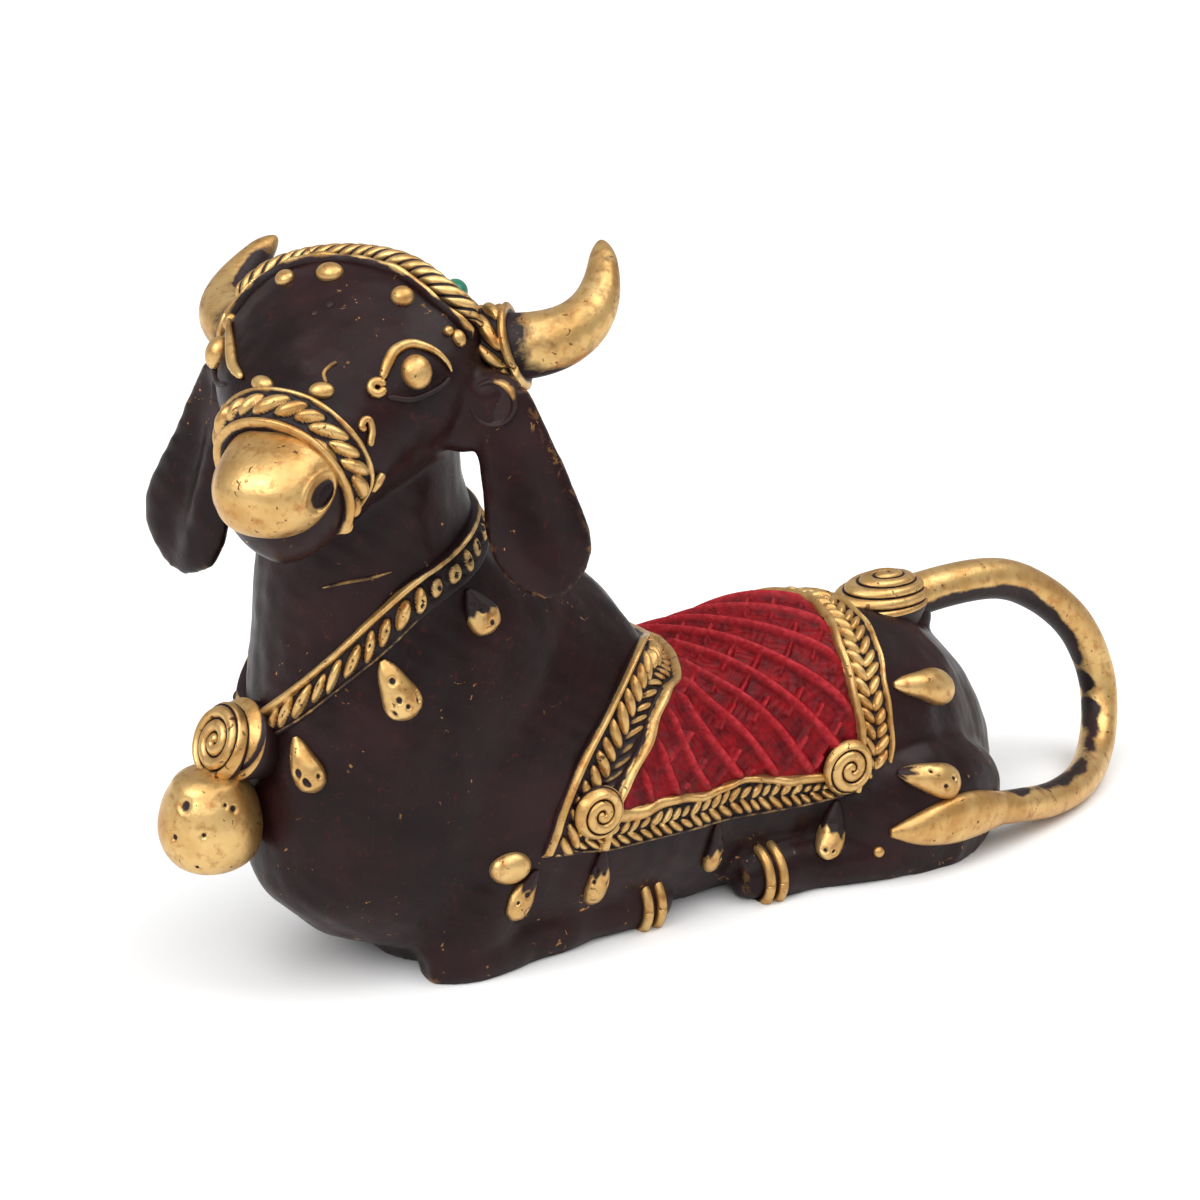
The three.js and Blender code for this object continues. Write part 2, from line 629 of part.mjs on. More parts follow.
// A thread wound into a coil, ridged along its top, so close that its turns touch; its middle stands up most
function coil(at, wide, high, turns, rise, dome = 0) {
  const half = 1 / turns / 2.1;
  return skin(steps(Math.round(turns * 7)).map((t) => {
    const angle = t * turns * 2 * Math.PI;
    const point = (reach, out) => {
      const share = mix(1 - half, half * 1.1, t) + reach;
      return at(wide * share * Math.cos(angle), high * share * Math.sin(angle), out + dome * (1 - share ** 2));
    };
    return [point(-half, -sunk), point(0, rise * (0.7 + 0.6 * t)), point(half, -sunk)];
  }));
}

// Straight out from an axis of the body at a point of its skin
const fromNeck = (point) => point.clone().sub(vector(0, neckAxis, point.z)).normalize();
const fromBarrel = (point) => point.clone().sub(vector(0, point.y, barrelAxis)).normalize();

// A pear drop on the skin, from its narrow end to its round end
const dropRows = [[0, 0.2], [0.7, 1], [1, 0.4]];
function drop(start, end, wide, outwards) {
  const along = end.clone().sub(start);
  const out = outwards(start.clone().add(end).multiplyScalar(0.5));
  const across = along.clone().cross(out).normalize();
  return skin(dropRows.map(([share, size]) => around(4).map((angle) => start.clone()
    .addScaledVector(along, share)
    .addScaledVector(across, size * wide / 2 * Math.cos(angle))
    .addScaledVector(out, size * wide * 0.4 * Math.sin(angle)))));
}

// A thread through points that keep to a form
function thread(points, radius, count) {
  const path = new THREE.CatmullRomCurve3(points, false, 'centripetal');
  const frames = path.computeFrenetFrames(count);
  return skin(steps(count).map((t, i) => around(3).map((angle) => path.getPointAt(t)
    .addScaledVector(frames.normals[i], radius * Math.cos(angle))
    .addScaledVector(frames.binormals[i], radius * Math.sin(angle)))));
}

// Everything that lies on one side; an angle on the left is turned over for the right
function ornamentOf(side) {
  const turned = (degrees) => (side > 0 ? degrees : 180 - degrees);
  const eye = seatOn(headPoint, 10.8, pressed(12.8 * side, 10.8, 4));
  const brow = browRows.map(([left, nose, crown]) => lifted(headPoint, nose,
    radians(pressed(left * side, nose, crown)), 0.1));
  let laid = boss(eye, [[-0.8, 1], [0.8, 0.94], [1.6, 0.5]], eyeWide / 2, eyeHigh / 2, 8)
    .add(thread(brow, wire * 0.65, 8))
    .add(coil(seatOn(barrelPoint, -12.8, turned(3)), coilRadius, coilRadius, 2, coilThread))
    .add(coil(seatOn(barrelPoint, 28, turned(3)), coilRadius * 1.08, coilRadius * 1.08, 2, coilThread));
  const at = mirrored(side);
  for (const [start, end, wide] of neckDrops) {
    laid = laid.add(drop(at(...start), at(...end), wide, fromNeck));
  }
  for (const [start, end, wide] of barrelDrops) {
    laid = laid.add(drop(at(...start), at(...end), wide, fromBarrel));
  }
  return laid.add(bead(seat(at(...shoulderBead), fromBarrel(at(...shoulderBead))), shoulderBeadSize));
}

// The thread bent over an eye, on the head's axes, from its outer end
const browRows = [[14.9, 7.4, 2.6], [14.3, 8.1, 3.6], [13.1, 7.9, 4.8], [11.8, 8.3, 5.7], [10.5, 9.7, 5.9],
  [9.8, 11.2, 5.6], [9.5, 12.7, 4.9], [9.4, 14, 4.3]];
// Beads on the forehead and on the noseband, on the head's axes, with their size
const headBeads = [[-1.5, 1.1, 9.6, 1.7], [-7.2, 1.9, 8.6, 1.4], [8.6, 2.4, 8.1, 1.5], [15.1, 4.4, 3.2, 1],
  [-15.1, 4.4, 3.2, 1], [-3.6, 16.6, 5.4, 1.4], [3.6, 17.1, 5.4, 1.4]];
// Drops on the left side: narrow end, round end and width. These lie under the collar
const neckDrops = [
  [[13.2, -28, 51.9], [14.8, -25.5, 46.4], 4.4],
  [[12.9, -39.7, 45.1], [15, -37.1, 37.7], dropWidth],
  [[6.9, -48.4, 35.1], [9.2, -46.9, 28.4], 4.1],
];
// These lie on the shoulder, under the cloth and behind it
const barrelDrops = [
  [[17.6, -21.1, 14.3], [17, -24.5, 8], 3.6],
  [[18.3, -11.4, 15.2], [16.2, -12.2, 6.7], 3.2],
  [[16.9, 7.4, 13.7], [14.6, 7.5, 5.7], 2.8],
  [[17, 27.2, 12], [17.4, 24.6, 3.9], 3.9],
  [[19.8, 35.2, 15], [22.2, 44, 11.8], dropWidth],
  [[15, 37, 25.9], [13.9, 48.9, 22.2], dropWidth],
];
const shoulderBead = [17.3, -24.7, 15.4];
const shoulderBeadSize = 2.5;

const pendantFace = vector(0, -Math.cos(radians(pendantTilt)), Math.sin(radians(pendantTilt)));
function pendant() {
  const behind = seat(vector(0.8, chestFront - 2.1, 33.5), pendantFace);
  const front = seat(vector(0, chestFront - 3.9, 33.2), pendantFace);
  return boss(behind, [[-4, 0.7], [0.8, 1]], pendantRadius, pendantRadius, 9)
    .add(coil(front, pendantRadius * 0.92, pendantRadius * 0.98, 2, coilThread * 0.5));
}

// The bell hangs under the pendant: rows of Z and radius, with a stub that joins it to the chest
const bellRows = [[16.9, 1.6], [18.6, 5], [22, bellRadius], [25.4, 6.1], [28, 5], [29.8, 3.4], [30.4, 1.2]];
function bell() {
  const rings = bellRows.map(([z, radius]) => around(10).map((angle) => vector(
    radius * Math.cos(angle),
    chestFront - bellHangs + radius * Math.sin(angle),
    z,
  )));
  const stub = boss(seat(vector(0, chestFront + 2.5, 22), vector(0, -1, 0)), [[-1, 1], [7, 1]], 2.6, 3.4, 6);
  return skin(rings).add(stub);
}

// The domed coil on the back, over the tail's root
function tailCoil() {
  const at = seat(vector(0.3, 47, 31.8), vector(0.08, -0.02, 1).normalize());
  const cushion = [[-4, 0.93], [0.2, 0.93], [tailCoilDome * 0.64, 0.62], [tailCoilDome, 0.25]];
  return boss(at, cushion, tailCoilWide, tailCoilLong, 11)
    .add(coil(at, tailCoilWide, tailCoilLong, 2.6, coilThread * 0.75, tailCoilDome));
}

// A cuff round a lower leg, where the hoof begins
const cuff = (side, [y, x, z, size]) => skin([-0.6, 0.6].map((ahead) => around(6).map((angle) => vector(
  side * x + size * Math.cos(angle),
  y + ahead,
  z + size * Math.sin(angle),
))));
const frontCuffs = [[-3.1, 12.3, 3.2, 4.8], [-1, 12.3, 3.2, 4.8]];
const hindCuffs = [[15.2, 14.4, 3.1, 4.8], [17.2, 14.5, 3.1, 4.9]];

// The tail's end laid on the left thigh as a leaf
const tuft = limb([
  [vector(21.8, 32.8, 7.5), 0.5, 0.5],
  [vector(22.8, 36.8, 7.4), 1.5, 1.9],
  [vector(23.1, 41.7, 7.4), 1.8, 2.8],
  [vector(22.5, 46.8, 7), 2, 2.9],
  [vector(21.2, 52.4, 6), 1.9, 2.3],
  [vector(19.6, 57.8, 4.6), 1.4, 1.6],
], 6, 6);

const floorCut = new THREE.BoxGeometry(200, 300, 60);
floorCut.translate(0, 0, -30);

let bull = barrelWithCloth().add(column).add(skull).add(dome).add(tail()).add(tuft);
for (const side of [1, -1]) {
  bull = bull.add(foreleg(side)).add(hindLeg(side)).add(horn(side)).add(ear(side)).subtract(nostril(side));
  const ahead = side > 0 ? 0 : kneeLead;
  for (const [y, ...rest] of frontCuffs) {
    bull = bull.add(cuff(side, [y + ahead, ...rest]));
  }
  for (const row of hindCuffs) {
    bull = bull.add(cuff(side, row));
  }
  bull = bull.add(ornamentOf(side));
}
bull = bull.add(collar()).add(pendant()).add(bell())
  .add(band(headPoint, [crownFront, crownRear], 22, plait))
  .add(band(headPoint, [nosebandRear, nosebandFront], 22, plait))
  .add(tailCoil());
for (const [left, nose, crown, size] of headBeads) {
  bull = bull.add(bead(seatOn(headPoint, nose, pressed(left, nose, crown)), size));
}
bull = bull.subtract(solidOf(floorCut));

const patinatedBrass = new THREE.MeshStandardMaterial({ color: 0x35211c, roughness: 0.45, metalness: 0.6 });

function meshOf(name, solid, material) {
  const mesh = solid.getMesh();
  const geometry = new THREE.BufferGeometry();
  geometry.setAttribute('position', new THREE.BufferAttribute(mesh.vertProperties, mesh.numProp));
  geometry.setIndex(new THREE.BufferAttribute(mesh.triVerts, 1));
  const named = new THREE.Mesh(geometry, material);
  named.name = name;
  return named;
}

const figure = new THREE.Group();
figure.add(meshOf('nandi_bull', bull, patinatedBrass));
export default figure;
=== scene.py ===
import bpy
import numpy as np
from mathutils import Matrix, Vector
from mathutils.bvhtree import BVHTree
from numpy import array, clip, concatenate, cos, cross, linspace, pi, radians, sin


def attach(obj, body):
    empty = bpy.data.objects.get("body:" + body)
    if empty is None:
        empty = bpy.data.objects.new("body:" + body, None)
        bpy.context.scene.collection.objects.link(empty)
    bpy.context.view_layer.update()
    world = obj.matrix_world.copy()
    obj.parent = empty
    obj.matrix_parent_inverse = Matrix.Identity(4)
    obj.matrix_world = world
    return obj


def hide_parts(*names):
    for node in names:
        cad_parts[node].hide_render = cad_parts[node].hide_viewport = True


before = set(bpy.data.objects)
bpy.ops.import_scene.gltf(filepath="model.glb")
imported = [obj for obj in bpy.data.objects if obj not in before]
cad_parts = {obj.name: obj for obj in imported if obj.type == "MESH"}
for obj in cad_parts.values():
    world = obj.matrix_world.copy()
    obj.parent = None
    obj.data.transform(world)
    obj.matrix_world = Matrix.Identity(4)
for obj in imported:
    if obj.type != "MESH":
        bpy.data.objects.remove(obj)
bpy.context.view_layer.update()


# The bull's body: one hollow brass casting from a wax model, with its barrel, chest, neck, skull, folded
# legs and hanging ears. The wax was smoothed by hand, so the forms run into each other, and the brass was
# darkened to a brown-black patina that is rubbed red in places. Sizes are in mm, in the frame of the CAD.
MM = 0.001
CHEST, RUMP = -49.5, 67.0
BACK, BODY_HALF, NECK_HALF = 32.8, 18.0, 12.3
BELOW_BASE = 3.0
KNEE_LEAD = -0.3
SKIN_STEP = 0.6


def between(rows, place):
    """Values between the rows of a table: a cubic whose slope at each row is that of its two neighbours."""
    rows = np.asarray(rows, float)
    x, v = rows[:, 0], rows[:, 1:]
    low = np.maximum(np.arange(len(x)) - 1, 0)
    high = np.minimum(np.arange(len(x)) + 1, len(x) - 1)
    slope = (v[high] - v[low]) / (x[high] - x[low])[:, None]
    at = clip(place, x[0], x[-1])
    i = clip(np.searchsorted(x, at, side="right") - 1, 0, len(x) - 2)
    span = (x[i + 1] - x[i])[..., None]
    t = (at - x[i])[..., None] / span
    value = (2 * t**3 - 3 * t**2 + 1) * v[i] + (3 * t**2 - 2 * t**3) * v[i + 1]
    value = value + span * ((t**3 - 2 * t**2 + t) * slope[i] + (t**3 - t**2) * slope[i + 1])
    return np.moveaxis(value, -1, 0)


def oval(angle, half_width, up, down, power):
    """Across and up of a rounded oval: cosine and sine raised to 2/power, times its half sizes."""
    across = np.sign(cos(angle)) * np.abs(cos(angle)) ** (2 / power)
    height = np.sign(sin(angle)) * np.abs(sin(angle)) ** (2 / power)
    return half_width * across, height * np.where(height > 0, up, down)


def rounded_end(share, power):
    """How far a rounded end draws a form in: the root of one minus the share's power."""
    return (1 - clip(share, 0, 1) ** power) ** (1 / power)


def hump(distance, width, power=2):
    """A bell curve: one in its middle, with the distance over the width raised to a power."""
    return np.exp(-(distance / width) ** power)


def crowded(start, end, count):
    """Places that crowd together at both ends, as a half turn's cosine does."""
    return start + (end - start) * (1 - cos(linspace(0, pi, count))) / 2


def circle(count):
    """A row of even angles, once round."""
    return np.arange(count)[None] * 2 * pi / count


def unit(arrow):
    """Arrows cut to a length of one."""
    return arrow / np.linalg.norm(arrow, axis=-1)[..., None]


def placed(centre, *steps):
    """Points reached from a centre: each step is an arrow and the distance to go along it."""
    for arrow, distance in steps:
        centre = centre + arrow * np.asarray(distance)[..., None]
    return centre


BARREL = [
    [CHEST + 8.5, 50, 9.5, 25], [-38, 51, 12.6, 24], [-30, 51.4, 16.2, 22], [-21, 51.2, 18, 20],
    [-12, 50.2, 18.4, 18.5], [-6, 48.1, 18.2, 18], [-2, 44.5, 17.9, 17.6], [1, 40.1, 17.6, 17.3],
    [4.2, 35.9, 17.2, 17], [9, BACK, 16.8, 17], [18, BACK + 0.2, 16.6, 16.5],
    [29.5, BACK + 1.3, BODY_HALF - 0.8, 15.5], [40, BACK + 0.2, BODY_HALF + 0.2, 13],
    [50, BACK, BODY_HALF + 0.6, 8], [RUMP, BACK, BODY_HALF + 0.4, 3],
]


def barrel(y, angle):
    """Trunk from chest to rump: ovals whose size comes from the table, drawn in at both ends."""
    y, angle = np.broadcast_arrays(y, angle)
    top, half_width, widest = between(BARREL, y)
    rump = rounded_end((y - RUMP + 25) / 25, 1.5)
    drawn = np.minimum(rump, rounded_end((CHEST + 21.5 - y) / 13, 2.3))
    up, down = (top - widest) * drawn, (widest + BELOW_BASE) * drawn
    across, height = oval(angle, half_width * drawn, up, down, 2.25)
    return np.stack([across, y, widest + height], -1)


COLUMN = [
    [-3, -18, -12, 6], [0, -25, -10, 7.8], [4, -41, -8, 11.8], [8, -46.9, -7, 14.2],
    [13, CHEST - 1.1, -6, 15.8], [20, CHEST - 2, -5, 16.6], [30, CHEST - 1.6, -4, 16.8],
    [38, CHEST - 0.6, -4, 16.4], [45, CHEST + 0.3, -6, 15.2], [51, CHEST + 0.8, -12.6, 13.8],
    [56, CHEST + 1.4, -19.4, 12.9], [62, CHEST + 2, -22.3, NECK_HALF], [68, CHEST + 3, -23.1, NECK_HALF],
    [76, CHEST + 5, -23.6, NECK_HALF - 0.4], [86, CHEST + 9, -27, NECK_HALF - 3.5],
]


def column(z, angle):
    """Chest and neck: level ovals up a table of front, rear and half width; angle 90 is the rear."""
    z, angle = np.broadcast_arrays(z, angle)
    front, rear, half_width = between(COLUMN, z)
    middle = (front + rear) / 2
    across, back = oval(angle, half_width, rear - middle, middle - front, 2.15)
    return np.stack([across, middle + back, z], -1)


def towards(turn, rise):
    """The arrow turned from straight ahead towards the bull's left and raised."""
    return array([sin(turn) * cos(rise), -cos(turn) * cos(rise), sin(rise)])


YAW, PITCH, ROLL = radians([35.5, 24, 2])
HEAD_CENTRE = array([0, -34, 82.5])
HEADING = towards(YAW, 0)
LEVEL = array([cos(YAW), sin(YAW), 0])
UPRIGHT = array([0, 0, 1.0])
NOSEWARD = HEADING * cos(PITCH) - UPRIGHT * sin(PITCH)
RISING = HEADING * sin(PITCH) + UPRIGHT * cos(PITCH)
LEFTWARD = LEVEL * cos(ROLL) + RISING * sin(ROLL)
CROWNWARD = RISING * cos(ROLL) - LEVEL * sin(ROLL)


def on_head(left, nose, crown):
    """A point by its distances from the head's centre: leftward, noseward, crownward."""
    return placed(HEAD_CENTRE, (LEFTWARD, left), (NOSEWARD, nose), (CROWNWARD, crown))


HEAD = [
    [-10, 10, 0.5, -9, -3], [-6, 13.4, 5.4, -10.5, -2], [-2, 15.6, 8.9, -12, -1.4],
    [2, 16.5, 9.6, -13, -1.2], [8, 16.5, 8.4, -13.5, -1.6], [13, 14.3, 7.2, -13.5, -2],
    [17, 11.5, 6, -13.2, -2.6], [21, 9.8, 5.2, -12.6, -3], [26, 7.4, 3.8, -12, -3.8],
    [33, 5.8, 1.2, -11.4, -5],
]


def head(nose, angle):
    """Skull and face: ovals along the nose line from a table, rounded off behind and at the lip."""
    nose, angle = np.broadcast_arrays(nose, angle)
    half_width, top, bottom, widest = between(HEAD, nose)
    drawn = np.minimum(rounded_end((-6 - nose) / 5, 2.2), rounded_end((nose - 28) / 4.6, 2.2))
    up, down = (top - widest) * drawn, (widest - bottom) * drawn
    across, height = oval(angle, half_width * drawn, up, down, 2.1)
    return on_head(across, nose, widest + height)


EAR = [[0, 0.6, 1], [0.15, 0.7, 1], [0.4, 0.88, 1], [0.7, 1.06, 0.95], [0.88, 0.86, 0.8], [1, 0.3, 0.4]]
EAR_LENGTH, EAR_WIDTH, EAR_THICK = 26.0, 11.6, 3.8


def ear(side):
    """A drooping ear: a rounded leaf from its root to its tip, with a ridge and a hollow on its face."""
    root = on_head(19.2 if side > 0 else -17.2, 5.6, -3.6)
    tip = on_head(side * (26 if side > 0 else 27.6), 15.8, -4 - EAR_LENGTH * (0.85 if side > 0 else 0.92))
    down = unit(tip - root)
    splay = radians(20 * side)
    across = unit(cross(down, HEADING * cos(splay) + LEVEL * sin(splay)))
    share = crowded(0, 1, 60)[:, None]
    angle = circle(40)
    wide, thick = between(EAR, share)
    if side < 0:
        wide = wide * (1 + 0.34 * share**1.5)
    x, y = oval(angle, wide * EAR_WIDTH / 2, thick * EAR_THICK / 2, thick * EAR_THICK / 2, 2.4)
    inward = side * x / EAR_WIDTH * 2
    relief = 1.7 * hump(inward + 0.2, 0.42) - 0.7 * hump(inward - 0.52, 0.24)
    cup = np.where(sin(angle) > 0, sin(pi * share) ** 0.7 * relief * sin(angle) ** 2, 0)
    return placed(root, (tip - root, share), (across, x), (cross(across, down), y - cup))


def along_rows(rows, count):
    """Values at even steps along the rows of a table."""
    rows = np.asarray(rows, float)
    return between(np.column_stack([np.arange(len(rows)), rows]), linspace(0, len(rows) - 1, count))


def swept(centre, wide, high, upright, sides):
    """An oval carried along a path: its width lies square to the path and to an upright arrow."""
    ahead = unit(np.gradient(centre, axis=0))
    side = unit(cross(upright, ahead))
    angle = circle(sides)
    return placed(centre[:, None], (side[:, None], wide[:, None] * cos(angle)),
                  (cross(ahead, side)[:, None], high[:, None] * sin(angle)))


def limb(rows, count=40, sides=28, upright=(0, 0, 1)):
    """An oval carried along a smooth path; each row is its centre, half width and half height."""
    x, y, z, wide, high = along_rows(rows, count)
    return swept(np.stack([x, y, z], -1), wide, high, upright, sides)


def ball(centre, radii):
    """A round knob by its centre and half sizes."""
    turn = linspace(0.02, pi - 0.02, 24)[:, None]
    angle = circle(32)
    return centre + np.stack([sin(turn) * cos(angle), sin(turn) * sin(angle),
                              cos(turn) + 0 * angle], -1) * radii


def closed_tube(grid):
    """Points and faces of a closed skin: rings joined by quads and a fan at each end, facing outwards."""
    rows, sides = grid.shape[:2]
    index = np.arange(rows * sides).reshape(rows, sides)
    following = np.roll(index, -1, 1)
    quads = np.stack([index[:-1], following[:-1], following[1:], index[1:]], -1).reshape(-1, 4)
    pole = np.full(sides, rows * sides)
    fans = [np.stack([following[0], index[0], pole], -1), np.stack([index[-1], following[-1], pole + 1], -1)]
    fans = concatenate(fans)
    points = concatenate([grid.reshape(-1, 3), grid[[0, -1]].mean(1)])
    a, b, c, d = points[quads.T] - points[-1]
    if np.sum(a * (cross(b, c) + cross(c, d))) < 0:
        quads, fans = quads[:, ::-1], fans[:, ::-1]
    return points, quads, fans


def put(name, data):
    """A new thing in the scene, at its origin."""
    thing = bpy.data.objects.new(name, data)
    bpy.context.scene.collection.objects.link(thing)
    return thing


def cast(name, tubes, material):
    """One piece from closed tubes: each is a grid and its share of bare metal, kept as an attribute."""
    points, quads, fans, shown, count = [], [], [], [], 0
    for grid, gold in tubes:
        p, q, f = closed_tube(grid)
        points.append(p)
        quads.append(q + count)
        fans.append(f + count)
        count += len(p)
        if gold is not None:
            level = np.broadcast_to(gold, grid.shape[:2])
            shown += [level.ravel(), level[[0, -1]].mean(1)]
    points, quads, fans = (concatenate(part) for part in (points, quads, fans))
    mesh = bpy.data.meshes.new(name)
    mesh.from_pydata((points * MM).tolist(), [], quads.tolist() + fans.tolist())
    mesh.validate()
    if shown:
        attribute = mesh.attributes.new("gold", "FLOAT", "POINT")
        attribute.data.foreach_set("value", concatenate(shown).astype(np.float32))
    mesh.shade_smooth()
    mesh.materials.append(material)
    piece = put(name, mesh)
    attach(piece, "root")
    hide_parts("nandi_bull")
    return piece


def plug(node, inputs):
    """Gives each socket named its value, or a link from another node's socket."""
    for key, value in inputs.items():
        if isinstance(value, bpy.types.NodeSocket):
            node.id_data.links.new(value, node.inputs[key])
        else:
            node.inputs[key].default_value = value


def add_node(tree, kind, inputs, **settings):
    """The outputs of a new shader node with its settings and inputs."""
    node = tree.nodes.new(kind)
    for key, value in settings.items():
        setattr(node, key, value)
    plug(node, inputs)
    return node.outputs


def new_finish(name):
    """A new material, its shader, and the place on the figure that its patterns follow."""
    finish = bpy.data.materials.new(name)
    finish.use_nodes = True
    place = add_node(finish.node_tree, "ShaderNodeTexCoord", {})["Object"]
    return finish, finish.node_tree.nodes["Principled BSDF"], place


def marked(place, name):
    """A share that is kept on the piece's own points."""
    return add_node(place.id_data, "ShaderNodeAttribute", {}, attribute_name=name)["Fac"]


def noise(place, scale, detail=3.0, roughness=0.55, distortion=0.0):
    """Cloudy variation at a scale per metre."""
    inputs = {"Vector": place, "Scale": scale, "Detail": detail, "Roughness": roughness,
              "Distortion": distortion}
    return add_node(place.id_data, "ShaderNodeTexNoise", inputs)[0]


def ramp(value, low, high, to_low=0.0, to_high=1.0):
    """A value carried from one range to another and held at its ends."""
    return add_node(value.id_data, "ShaderNodeMapRange", {
        "Value": value, "From Min": low, "From Max": high, "To Min": to_low, "To Max": to_high})[0]


def blend(share, first, second):
    """One colour over another by a share."""
    return add_node(share.id_data, "ShaderNodeMix", {0: share, 6: first, 7: second}, data_type="RGBA")[2]


def reckon(kind, first, second=0.5, third=0.5):
    """A sum on numbers."""
    return add_node(first.id_data, "ShaderNodeMath", {0: first, 1: second, 2: third}, operation=kind)[0]


def bumped(height, strength, depth):
    """A surface roughened by a height."""
    return add_node(height.id_data, "ShaderNodeBump", {
        "Strength": strength, "Distance": depth, "Height": height})[0]


def tone(red, green, blue):
    """A paint's colour from 0 to 255 as linear light."""
    share = array([red, green, blue]) / 255
    return (*(np.where(share < 0.04045, share / 12.92, ((share + 0.055) / 1.055) ** 2.4)), 1.0)


def patina_colour(place):
    """Brown-black patina, cloudy, with dull red rubs."""
    dark = blend(ramp(noise(place, 90, 4), 0.35, 0.65), tone(22, 9, 10), tone(40, 18, 20))
    return blend(ramp(noise(place, 560, 6, 0.75, 1.5), 0.56, 0.72, 0, 0.5), dark, tone(78, 26, 24))


patina, shader, place = new_finish("dark_patina")
fleck = ramp(noise(place, 620, 3, 0.6, 1.2), 0.67, 0.7)
fleck = reckon("MULTIPLY", fleck, ramp(noise(place, 70, 2), 0.52, 0.62))
edge_fleck = ramp(noise(place, 520, 5, 0.7, 0.6), 0.53, 0.58)
fleck = reckon("MAXIMUM", fleck, reckon("MULTIPLY", edge_fleck, marked(place, "edge_wear_and_thread_highlight")))
dents = reckon("MULTIPLY_ADD", noise(place, 900, 4, 0.6), 0.35, noise(place, 260, 2))
plug(shader, {
    "Base Color": blend(fleck, patina_colour(place), tone(176, 128, 74)),
    "Metallic": ramp(fleck, 0, 1, 0, 0.95),
    "Roughness": ramp(noise(place, 150, 4), 0.3, 0.7, 0.3, 0.46),
    "Specular IOR Level": 0.17,
    "Normal": bumped(dents, 0.5, 0.00025),
})

UPPER_ARM = [[8, -14, 20, 4, 7], [10.6, -22, 14, 6, 8], [12, -28, 7, 5.4, 6.4], [12.4, -33, 2, 3, 2.4]]
SHIN = [[11.4, -34, 2, 2.6, 3], [12, -28.6, 2.4, 4.8, 4.6], [12.3, -17, 3.2, 4, 4.4],
        [12.4, -7.4, 3.4, 3.6, 3.9], [12.4, -1, 3.2, 3.8, 3.9], [12.4, 2, 3, 2.6, 2.8]]
HAUNCH = [[13, 24, 8, 2, 3], [15.4, 33, 7.5, 5.8, 9.6], [16.6, 43, 6.4, 6.6, 11.2],
          [14.2, 52.4, 6.2, 5.1, 8], [9.8, 57, 6, 2.2, 4]]
CANNON = [[17.6, 45, 2.8, 5.4, 4.4], [17.2, 35, 2.8, 5, 4.4], [15.4, 25, 3, 4.1, 4.1],
          [14.5, 16.2, 3.2, 3.9, 3.9], [14.1, 12.4, 3, 2.6, 2.8]]
wax = [barrel(crowded(CHEST + 8.52, RUMP - 0.02, 90)[:, None], circle(72)),
       column(linspace(-BELOW_BASE, 86, 70)[:, None], circle(60)),
       head(crowded(-10.98, 32.58, 70)[:, None], circle(60))]
for side in (1, -1):
    lead = 0 if side > 0 else KNEE_LEAD
    for rows, shift in ((UPPER_ARM, lead), (SHIN, lead), (HAUNCH, 0), (CANNON, 0)):
        wax.append(limb(array(rows) * [side, 1, 1, 1, 1] + [0, shift, 0, 0, 0]))
    wax.append(ear(side))
    wax.append(ball(on_head(side * (17.8 if side > 0 else 16.2), 5.4, -4.2), [3.2, 3.2, 3.2]))
    wax.append(ball(on_head(side * 14.6, 7.4, -7.4), [3.3, 3.3, 3.4]))
wax.append(ball([0, 53, 28.2], [3, 2.6, 3.6]))

body = cast("bull_body", [(grid, None) for grid in wax], patina)
remesh = body.modifiers.new("one_skin", "REMESH")
remesh.mode = "VOXEL"
remesh.voxel_size = SKIN_STEP * MM
soften = body.modifiers.new("smoothed_wax", "SMOOTH")
soften.factor = 0.5
soften.iterations = 10
skin = bpy.data.meshes.new_from_object(body.evaluated_get(bpy.context.evaluated_depsgraph_get()))
body.modifiers.clear()
rough = body.data
body.data = skin
bpy.data.meshes.remove(rough)
skin.name = "bull_body"


def read_rows(items, key, kind, width):
    """Values of a mesh's points or edges, a row for each."""
    values = np.empty(len(items) * width, kind)
    items.foreach_get(key, values)
    return values.reshape(-1, width)


def hand_worked(points, amplitude, wave, seed):
    """Gentle unevenness of hand-worked wax: a sum of sine waves in eight directions, in mm."""
    turn = np.random.default_rng(seed)
    total = np.zeros(len(points))
    for _ in range(8):
        way = turn.normal(size=3)
        way /= np.linalg.norm(way)
        total += sin(points @ way * 2 * pi / (wave * turn.uniform(0.7, 1.4)) + turn.uniform(0, 6.28))
    return amplitude * total / 2.8


co = read_rows(skin.vertices, "co", np.float32, 3).astype(float) / MM
normal = read_rows(skin.vertices, "normal", np.float32, 3).astype(float)
uneven = hand_worked(co, 0.12, 9, 3) + hand_worked(co, 0.05, 3.4, 5)
co += normal * uneven[:, None]
co[:, 2] = np.maximum(co[:, 2], 0)
skin.vertices.foreach_set("co", (co * MM).astype(np.float32).ravel())
skin.update()
skin.shade_smooth()
# How far each point stands above its neighbours, spread a little: the edges where the patina is rubbed.
joined = read_rows(skin.edges, "vertices", np.int32, 2)
here, there = concatenate([joined, joined[:, ::-1]]).T
neighbours = np.bincount(here, minlength=len(co))
standing = np.bincount(here, np.einsum("ij,ij->i", normal[here], co[here] - co[there]), len(co)) / neighbours
for _ in range(4):
    standing = (standing + np.bincount(here, standing[there], len(co)) / neighbours) / 2
edge_wear = skin.attributes.new("edge_wear_and_thread_highlight", "FLOAT", "POINT")
edge_wear.data.foreach_set("value", clip((standing - 0.035) / 0.06, 0, 1).astype(np.float32))
skin_tree = BVHTree.FromObject(body, bpy.context.evaluated_depsgraph_get())
